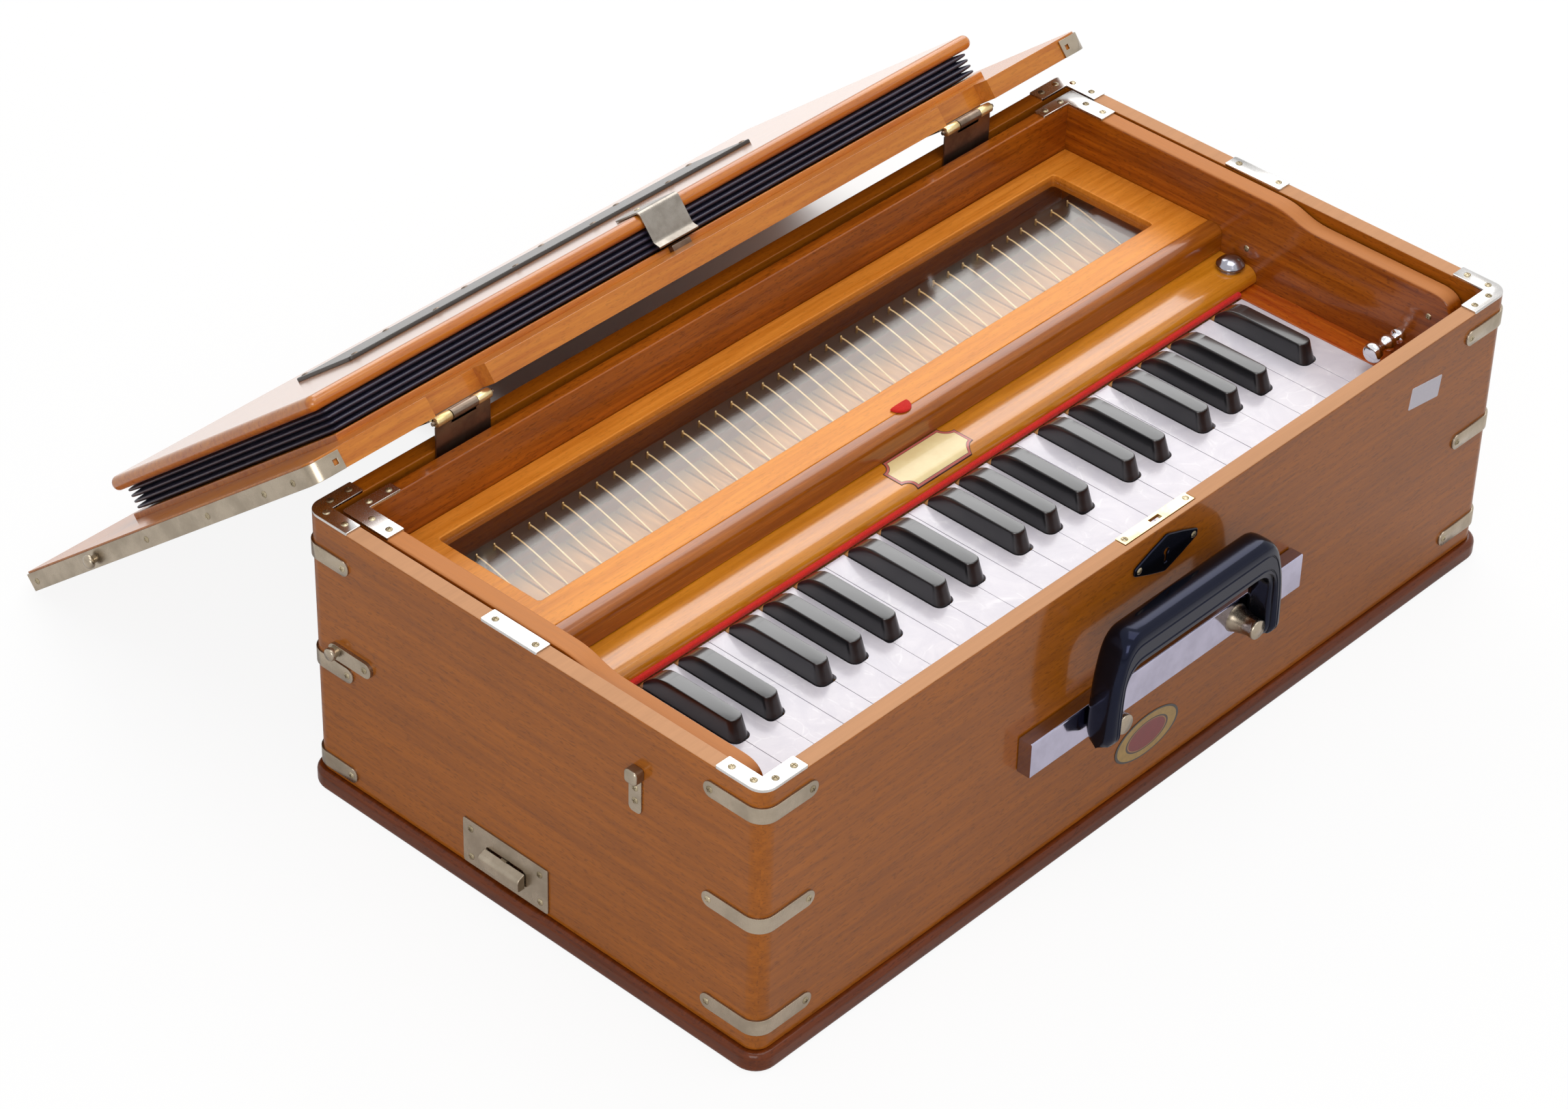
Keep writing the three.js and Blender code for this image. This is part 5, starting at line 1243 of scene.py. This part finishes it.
wire = tube("wire", sweep((269, 133), (258, 133.5), (228, 122.5), (212, 117.6), 10), 0.45)
pin_profile = [(129.8, 0), (129.8, 0.8), (133.6, 0.8), (134.2, 0.5), (134.4, 0)]
pin = turned("pin", pin_profile, "z", (MID_X, 269, 0), 8)
wires = [at_key(wire, "wire", x) for x in key_middles]
pins = [at_key(pin, "pin", x) for x in key_middles]
for pattern in (wire, pin):
    bpy.data.objects.remove(pattern)
spring = metal("spring_brass", "ffe9b8", "f0d090", 0.4).set(metallic=0.35)
dress(joined("spring_wires", *wires), spring, "inner_body", "dark_steel", "spring_rail")
dress(joined("spring_pins", *pins), brass, "inner_body", "brass", "spring_rail")

# %% [markdown]
# The window is plain glass, let into the deck's opening a little below its face. It lets
# the levers show through and mirrors what stands beyond, more so the flatter it is looked
# at. That is a blend of a clear and a mirroring shader, with a power of the facing angle as
# the share: a Fresnel node would turn the pane's lower face into a full mirror, for the
# view isn't bent on its way in. A clear shader also casts no dark shadow, so the levers
# stay lit. Wide smears of dust make the mirror a little uneven.

# %% Window glass
pane = soften(slab("window_pane", (57.2, 540.8), (206.5, 279.1), (143, 145)), 0.2, 1)
glass = Finish("window_glass", metallic=1.0, ior=1.5)
smear = glass.noise(glass.place(scale=(0.5, 1, 1)), 9, 1, 0.5, 0.6)
glass.set(
    base_color=glass.mix(smear, paint("efe9e6"), paint("f7f3f0")),
    roughness=smear * 0.05 + 0.05,
)
facing = glass.add("ShaderNodeLayerWeight", output="Facing")
mirror_share = facing.math("POWER", 4) * 0.45 + 0.045 + smear * 0.03
clear = glass.add("ShaderNodeBsdfTransparent", {}, {"Color": (0.97, 0.96, 0.94, 1)})
glass.show(mirror_share, clear, glass.own)
dress(pane, glass, "inner_body", "glass", "window_glass")

# %% [markdown]
# The lid lies open behind the case, tipped down towards the back. Its boards are drawn
# flat, with x along the hinge, y away from the hinge and z as height above the hinge's
# axis, and one matrix then swings each of them into place. That way every outline stays
# in round numbers.

# %% Lid boards
AXIS_Y, AXIS_Z, TIPPED = 304.7, 195, 39.6
HINGES, HINGE_W = {"left": 80.2, "right": 472}, 38.5
LID_LOW, LID_TOP, LID_FRONT, LID_REAR = 3.1, 14.6, -5.9, 307.1
TILT = Matrix.Translation(at(0, AXIS_Y, AXIS_Z)) @ Matrix.Rotation(-math.radians(TIPPED), 4, "X")
TILT = TILT @ Matrix.Translation(-at(0, 0, 0))


def lid_place(x, a, b):
    """A place on the lid, in millimetres of the whole instrument."""
    return tuple(TO_MODEL.inverted() @ (TILT @ at(x, a, b)))


def near_top(a, b):
    return min(a.z, b.z) > LID_TOP - 0.1 and max(a.y, b.y) < LID_FRONT + 0.1


plan = rounded(
    (-1.5, LID_FRONT, 8), (591.5, LID_FRONT, 8), (591.5, LID_REAR, 0.6), (-1.5, LID_REAR, 0.6)
)
lid = round_edges(prism("lid_board", plan, "z", LID_LOW, LID_TOP), 5, near_top)
for x in HINGES.values():
    carve(lid, slab("notch", (x - 1.4, x + HINGE_W + 1.4), (-50, 6.1), (-40, 60)))
soften(lid, 0.6, 2, 50)
ply = soften(slab("bellows_ply", (42, 542), (28.5, 250.5), (14.0, 18)), 0.8, 3)
lid_wood = varnished("lid_wood", "b4621a", "d2832c", coat=0.5, pores=0.2, gloss=0.2)
for piece in (lid, ply):
    dress(moved(piece, TILT), lid_wood, "lid", "body_wood", "lid_panel")

# %% [markdown]
# Two hinges join the lid to the rear wall. Each has a dark leaf and two brass knuckles on
# the lid, a dark leaf with one knuckle on the wall, and a pin through all three. A small
# bar on the ply is what the clip of the bellows board catches.

# %% Hinges
KNUCKLE_R, PIN_R, INNER = 2.8, 1.1, (10.9, 28.4)

steel_parts, brass_parts = [], []
for x in HINGES.values():
    leaf = soften(slab("leaf", (x, x + HINGE_W), (3.4, 22), (1.3, 2.8)), 0.25, 1)
    web = soften(slab("leaf", (x, x + HINGE_W), (6.4, 22), (1.3, 3.7)), 0.25, 1)
    steel_parts += [leaf, web]
    for low, high in ((x, x + 10.6), (x + 28.7, x + HINGE_W)):
        flag = slab("flag", (low, high), (0, 4), (1.3, 2.8))
        barrel = [(low, 0), (low, 2.4), (low + 0.4, KNUCKLE_R)]
        barrel += [(high - 0.4, KNUCKLE_R), (high, 2.4), (high, 0)]
        brass_parts += [flag, turned("barrel", barrel, "x", (0, 0, 0), 24)]
catch = soften(slab("catch", (284, 298), (24.6, 28.6), (14.0, 17.8)), 0.6, 2)
leaves = moved(joined("lid_hinge_leaves", *steel_parts, catch), TILT)
dress(leaves, dark_steel, "lid", "dark_steel", "lid_panel")
dress(moved(joined("lid_knuckles", *brass_parts), TILT), brass, "lid", "brass", "lid_panel")


def rod(name, low, high, radius, count):
    """A plain round bar along the hinges' axis."""
    profile = [(low, 0), (low, radius), (high, radius), (high, 0)]
    return turned(name, profile, "x", (0, AXIS_Y, AXIS_Z), count)


for side, x in HINGES.items():
    low, high = x + INNER[0], x + INNER[1]
    leaf = soften(slab("leaf", (x, x + HINGE_W), (304.1, 305.3), (159.35, 191.9)), 0.3, 2)
    tongue = slab("tongue", (low, high), (304.1, 305.3), (190, AXIS_Z))
    middle = rod("middle", low, high, KNUCKLE_R, 24)
    pin = rod("pin", x - 2, x + HINGE_W + 2, PIN_R, 16)
    leaf = joined(f"hinge_{side}", leaf, tongue, middle, pin)
    dress(leaf, dark_steel, "case", "dark_steel", f"hinge_leaf_{side}")
    for dx in (5, 33.5, HINGE_W / 2):
        note_screw("case", (x + dx, 304.1, 167), (0, -1, 0))

# %% [markdown]
# A nickel strip covers each side edge of the lid and turns round its near corner. The
# strip is bent from an angle outline like the straps, and carries a small square hole and
# a round pin that the hook on the case takes when the lid is shut.

# %% Lid strips
BEND, STRIP_TOP, STRIP_T = 9.3, 13.5, 1
STRIP_X, STRIP_Y = -2.8, -7.2

outline = [(STRIP_X, LID_REAR, 0), (STRIP_X, STRIP_Y, BEND), (17, STRIP_Y, 0)]
outline += [(17, STRIP_Y + STRIP_T, 0), (STRIP_X + STRIP_T, STRIP_Y + STRIP_T, BEND - STRIP_T)]
outline += [(STRIP_X + STRIP_T, LID_REAR, 0)]
strip = prism("strip", rounded(*outline, steps=8), "z", LID_LOW, STRIP_TOP)
hole = slab("hole", (11.2, 14.2), (-9, -4), (6.8, 9.8))
soften(carve(strip, hole), 0.25, 2, 50)
pin_profile = [(-1.6, 0), (-1.6, 2.2), (-4.6, 2.2), (-4.9, 3.6), (-5.4, 4), (-6.6, 4)]
pin_profile += [(-7.6, 3.7), (-8.4, 2.6), (-8.7, 1.2), (-8.7, 0)]
pin = turned("pin", pin_profile, "x", (0, 231, 8.3), 28)
strip_left = joined("lid_strip_l", strip, pin)
strip_right = mirrored(strip_left, "lid_strip_r", "x", MID_X)
for piece, node in ((strip_left, "lid_strip_left"), (strip_right, "lid_strip_right")):
    dress(moved(piece, TILT), nickel, "lid", "nickel", node)
for a in (300, 170.7, 103, 43, 13.4):
    note_screw("lid", lid_place(STRIP_X, a, 8), (-1, 0, 0))
    note_screw("lid", lid_place(CASE_W - STRIP_X, a, 8), (1, 0, 0))

# %% [markdown]
# The bellows are folded cloth over card, shut flat here. Each fold is a ring that steps
# out and in again, so the whole is one tube through rings of a rounded rectangle. The
# outer edges are bound, and paler scuffs lie here and there on the cloth. The folds ride on
# neither the lid nor the board.

# %% Bellows cloth
cloth = Finish("bellows_cloth", roughness=0.5, coat_weight=0.4, coat_roughness=0.3)
weave = cloth.noise(cloth.place(), 900, 3, 0.6)
scuff = cloth.noise(cloth.place(scale=(0.25, 1, 1)), 160, 4).step(0.45, 0.7)
dark_cloth = cloth.mix(weave, paint("171629"), paint("25233a"))
cloth.set(
    base_color=cloth.mix(scuff * 0.55, dark_cloth, paint("3d3a4c")),
    normal=cloth.bump(weave, 0.03, 0.3),
)

FOLDS_LOW, FOLDS_HIGH, FOLDS = 18.3, 32.3, 4
FOLD_DEEP = 5
FOLD = [(0, FOLD_DEEP), (0.13, 2.6), (0.26, 0.7), (0.36, 0.1)]
FOLD += [(0.5, 0), (0.64, 0.1), (0.74, 0.7), (0.87, 2.6)]


def fold_ring(inset, b):
    """A ring of the cloth, with more points along the straights."""
    ring = box_outline((43.6 + inset, 540.4 - inset), (30.1 + inset, 248.9 - inset), 4.5, 5)
    points = []
    for here, after in zip(ring, ring[1:] + ring[:1]):
        steps = 12 if math.dist(here, after) > 100 else 1
        for step in range(steps):
            u, v = [h + (n - h) * step / steps for h, n in zip(here, after)]
            points.append((u, v, b))
    return points


pitch = (FOLDS_HIGH - FOLDS_LOW) / FOLDS
rings = [
    fold_ring(inset, FOLDS_LOW + (fold + share) * pitch)
    for fold in range(FOLDS)
    for share, inset in FOLD
]
rings.append(fold_ring(FOLD_DEEP, FOLDS_HIGH))
folds = moved(smooth(lofted("bellows_cloth_folds", rings), 50), TILT)
folds.data.materials.append(cloth.material)
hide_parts("bellows_folds")
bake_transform(folds)
print("folds:", len(folds.data.polygons), "faces")

# %% [markdown]
# The bellows board is what the player's hand pumps. Its edges are fully rounded and its
# varnish is the glossiest of all. A flap of black leather is tacked over its valve, a
# little skew, as on the real one.

# %% Bellows board and flap
board = prism("bellows_lid_board", box_outline((37, 547), (28.5, 250.5), 5), "z", 32.6, 41.1)
board_wood = varnished("board_wood", "b4621a", "d2832c", coat=0.9, pores=0.2)
board = moved(soften(board, 4.1, 7, 50), TILT)
dress(board, board_wood, "bellows_board", "body_wood", "bellows_board")

leather = Finish("leather", roughness=0.45, coat_weight=0.6, coat_roughness=0.25)
where = leather.place()
crease = leather.noise(where, 90, 4, 0.6, 0.5)
leather.set(
    base_color=leather.mix(crease, paint("17130f"), paint("2c241c")),
    normal=leather.bump(leather.cells(where, 1300) + crease, 0.2, 0.6),
)
skewed = [(133, 125, 2), (435, 112, 2), (437, 174, 2), (135, 187, 2)]
flap = soften(prism("valve_flap", rounded(*skewed, steps=3), "z", 40.8, 43.4), 0.6, 2)
dress(moved(flap, TILT), leather, "bellows_board", "black_plastic", "bellows_board")

tack_profile = [(43.2, 0), (43.2, 2.2), (43.7, 2.0), (44.0, 1.2), (44.1, 0)]
tack = turned("tack", tack_profile, "z", (MID_X, MID_Y, 0), 12)
tacks = []
for i in range(6):
    x = 139 + i * 58.4
    for a in (128.5, 182.5):
        shift = (x - MID_X, a - (x - 133) * 0.043 - MID_Y, 0)
        tacks.append(twin(tack, "tack", Matrix.Translation(Vector(shift) * MM)))
bpy.data.objects.remove(tack)
tacks = moved(joined("flap_tacks", *tacks), TILT)
dress(tacks, dark_steel, "bellows_board", "dark_steel", "bellows_board")

# %% [markdown]
# A steel clip on the board's near edge holds the bellows shut. It is drawn as it looks from
# its end, a strip that runs over the board, turns down and flares out at its lip, and the
# outline is extruded to the clip's width. The far end is bevelled until it is half round.

# %% Clip
OVER, NEAR, STEEL_T, TIP = 41.4, 28.2, 1.1, 59.1
section = [(NEAR - 4.2, 20.1, 0), (NEAR - 3.6, 19.2, 0), (NEAR, 23, 2), (NEAR, OVER, 1.9)]
section += [(TIP, OVER, 0), (TIP, OVER + STEEL_T, 0), (NEAR - STEEL_T, OVER + STEEL_T, 3)]
section += [(NEAR - STEEL_T, 23.4, 3)]


def tip_edge(a, b):
    return abs(a.z - b.z) > 0.5 and min(a.y, b.y) > TIP - 0.1


clip = round_edges(prism("board_clip", rounded(*section), "x", 276, 306), 14.6, tip_edge, 12)
clip = moved(soften(clip, 0.25, 2, 50), TILT)
steel = metal("clip_steel", "9d968d", "7d766d", 0.22)
dress(clip, steel, "bellows_board", "chrome", "bellows_clip")
outward = TILT.to_3x3() @ Vector((0, 0, 1))
note_screw("bellows_board", lid_place(291, 47, OVER + STEEL_T), outward)

# %% [markdown]
# Three labels finish the outside: a cream plaque with scooped corners and a double red line
# on the key cover, a gilt-edged oval on the front, and a small paper sticker at the right.
# All three are left blank. The plaque is a slice of the cover itself, bent round its nose
# as the cover is, with the scooped outline cut from it. So the outline is laid out along
# the surface and each of its points is brought to where it lies in a plan.

# %% Plaque
PLAQUE_X, REAR, BEND_Y, NOSE_R = 302.4, 176.6, 157, 7
HALF_W, HALF_H, SCOOP = 28.4, 13.4, 6.7


def unrolled(v):
    """The plan's y of a place that lies v behind the plaque's middle, along its surface."""
    y = REAR - HALF_H + v
    return y if y > BEND_Y else BEND_Y - NOSE_R * math.sin((BEND_Y - y) / NOSE_R)


turns = [math.pi / 2 * i / 8 for i in range(9)]
arc = [(SCOOP * math.cos(t), SCOOP * math.sin(t)) for t in turns]
quarter = [(HALF_W - c, HALF_H - s) for c, s in reversed(arc)]
loop = quarter + [(-x, y) for x, y in reversed(quarter)]
loop += [(-x, -y) for x, y in quarter] + [(x, -y) for x, y in reversed(quarter)]
outline = [(PLAQUE_X + x, unrolled(y)) for x, y in loop]
top = COVER_TOP + 0.3
profile = rounded(
    (149.7, COVER_LOW, 2), (REAR, COVER_LOW, 0), (REAR, top, 0), (149.7, top, 7.3), steps=12
)
plaque = prism("plaque", profile, "x", 270, 335)
stamp = prism("stamp", outline, "z", 124, 140)
apply(plaque, "BOOLEAN", operation="INTERSECT", solver="EXACT", object=stamp)
bpy.data.objects.remove(stamp)
smooth(plaque, 35)
print("plaque:", len(plaque.data.polygons), "faces")

# %% [markdown]
# The plaque's lines follow its outline, so the shader works them out as distances from it:
# inside a scooped rectangle, the smallest of the distances to the sides and to the four
# scoops. A place's distance along the bent surface comes from the arc sine of its y.


# %% Plaque's enamel
def line(value, low, high, blur=0.08):
    """1 between two values, with soft edges."""
    return value.step(low - blur, low + blur) * (1 - value.step(high - blur, high + blur))


enamel = Finish("enamel", coat_weight=0.4, coat_roughness=0.08, roughness=0.35)
x, y, _ = enamel.split(enamel.place())
x, y = (x - (PLAQUE_X - MID_X) * MM) * (1 / MM), y * (1 / MM) + MID_Y
bent = ((BEND_Y - y) * (1 / NOSE_R)).math("MAXIMUM", 0).math("MINIMUM", 1).math("ARCSINE")
along = y.math("MAXIMUM", BEND_Y) - bent * NOSE_R - (REAR - HALF_H)
dx, dy = HALF_W - x.math("ABSOLUTE"), HALF_H - along.math("ABSOLUTE")
scoop = (dx * dx + dy * dy).math("SQRT") - SCOOP
edge = dx.math("MINIMUM", dy).math("MINIMUM", scoop)
age = enamel.noise(enamel.place(), 130, 4, 0.6)
cream = enamel.mix(age, paint("dcc186"), paint("eedba4"))
red = enamel.mix(age, paint("b04540"), paint("c96a62"))
maroon = enamel.mix(age, paint("33141a"), paint("571f22"))
face = enamel.mix(line(edge, 0.55, 1.75), cream, red)
face = enamel.mix(line(edge, 1.75, 2.05), face, maroon)
face = enamel.mix(1 - edge.step(0.45, 0.6), face, maroon)
enamel.set(base_color=face, normal=enamel.bump(age, 0.02, 0.3))
dress(plaque, enamel, "inner_body", "ivory", "key_cover")

# %% [markdown]
# The oval on the front is a thin film of dark lacquer with a wide gilt rim, a fine gilt line
# inside it and a plain red field. Here the distance is an ellipse's: the root of the two
# squared shares of its half axes.

# %% Gilt oval
OVAL_X, OVAL_Z, HALF_LONG, HALF_TALL = 295.5, 40.5, 26, 13.5
turns = [2 * math.pi * i / 64 for i in range(64)]
oval = [(OVAL_X + HALF_LONG * math.cos(t), OVAL_Z + HALF_TALL * math.sin(t)) for t in turns]
badge = soften(prism("oval_badge", oval, "y", -0.35, 0.1), 0.12, 1)
gilt = Finish("gilt_transfer", coat_weight=0.3, roughness=0.4)
centred = gilt.place(shift=tuple(-at(OVAL_X, 0, OVAL_Z)))
x, _, z = gilt.split(centred)
u, v = x * (1 / (HALF_LONG * MM)), z * (1 / (HALF_TALL * MM))
rim = (u * u + v * v).math("SQRT")
age = gilt.noise(gilt.place(), 300, 4, 0.6)
gold = gilt.mix(age, paint("8a6a26"), paint("c39a45"))
dark = gilt.mix(age, paint("1d150f"), paint("2f241a"))
field = gilt.mix(age, paint("6e1218"), paint("8c1c20"))
colour = gilt.mix(rim.over(0.62), field, dark)
colour = gilt.mix(line(rim, 0.665, 0.93, 0.006), colour, gold)
colour = gilt.mix(line(rim, 0.585, 0.605, 0.006), colour, gold)
gilt.set(base_color=colour, normal=gilt.bump(age, 0.03, 0.3))
dress(badge, gilt, "case", "brass")

# %% [markdown]
# The sticker is a slip of pale paper with cut corners, stuck on a little askew.

# %% Paper sticker
STICKER_X, STICKER_Z, ASKEW = 519.2, 145.8, Matrix.Rotation(math.radians(-7.8), 2)
corners = []
for corner in ((-13.6, -6.8), (13.6, -6.8), (13.6, 6.8), (-13.6, 6.8)):
    u, v = ASKEW @ Vector(corner)
    corners.append((STICKER_X + u, STICKER_Z + v, 0.8))
sticker = soften(prism("paper_sticker", rounded(*corners), "y", -0.3, 0.1), 0.08, 1)
paper = Finish("paper", roughness=0.75, specular_ior_level=0.2)
pulp = paper.noise(paper.place(), 700, 4, 0.7)
paper.set(
    base_color=paper.mix(pulp, paint("d8d3df"), paint("e6e2ea")),
    normal=paper.bump(pulp, 0.03, 0.5),
)
dress(sticker, paper, "case", "ivory")

# %% [markdown]
# Screws come last, once every plate has said where it wants them. One raised head is
# turned, its cross is cut, and copies are laid along each noted direction with a turn of
# their own, since no one lines up the slots by hand.

# %% Screws
ARM_REACH, ARM_HALF, SLOT_TURN = 1.3, 0.22, 2.4
screw_profile = [(-0.5, 0), (-0.5, 1.95), (0.08, 2.0), (0.35, 1.75), (0.58, 1.2), (0.68, 0.6)]
screw_profile += [(0.7, 0)]
head = turned("screw", screw_profile, "z", (MID_X, MID_Y, 0), 20)
for u, v in ((ARM_REACH, ARM_HALF), (ARM_HALF, ARM_REACH)):
    carve(head, slab("arm", (MID_X - u, MID_X + u), (MID_Y - v, MID_Y + v), (0.25, 2)))
smooth(head, 40)
count = 0
for body, places in SCREWS.items():
    group = []
    for place, direction in places:
        turn = Matrix.Rotation(count * SLOT_TURN, 4, "Z")
        aim = direction.to_track_quat("Z", "Y").to_matrix().to_4x4()
        group.append(twin(head, "screw", Matrix.Translation(at(*place)) @ aim @ turn))
        count += 1
    dress(joined(f"screws_{body}", *group), screw_steel, body, "nickel")
bpy.data.objects.remove(head)
print("screws:", count)

# %% [markdown]
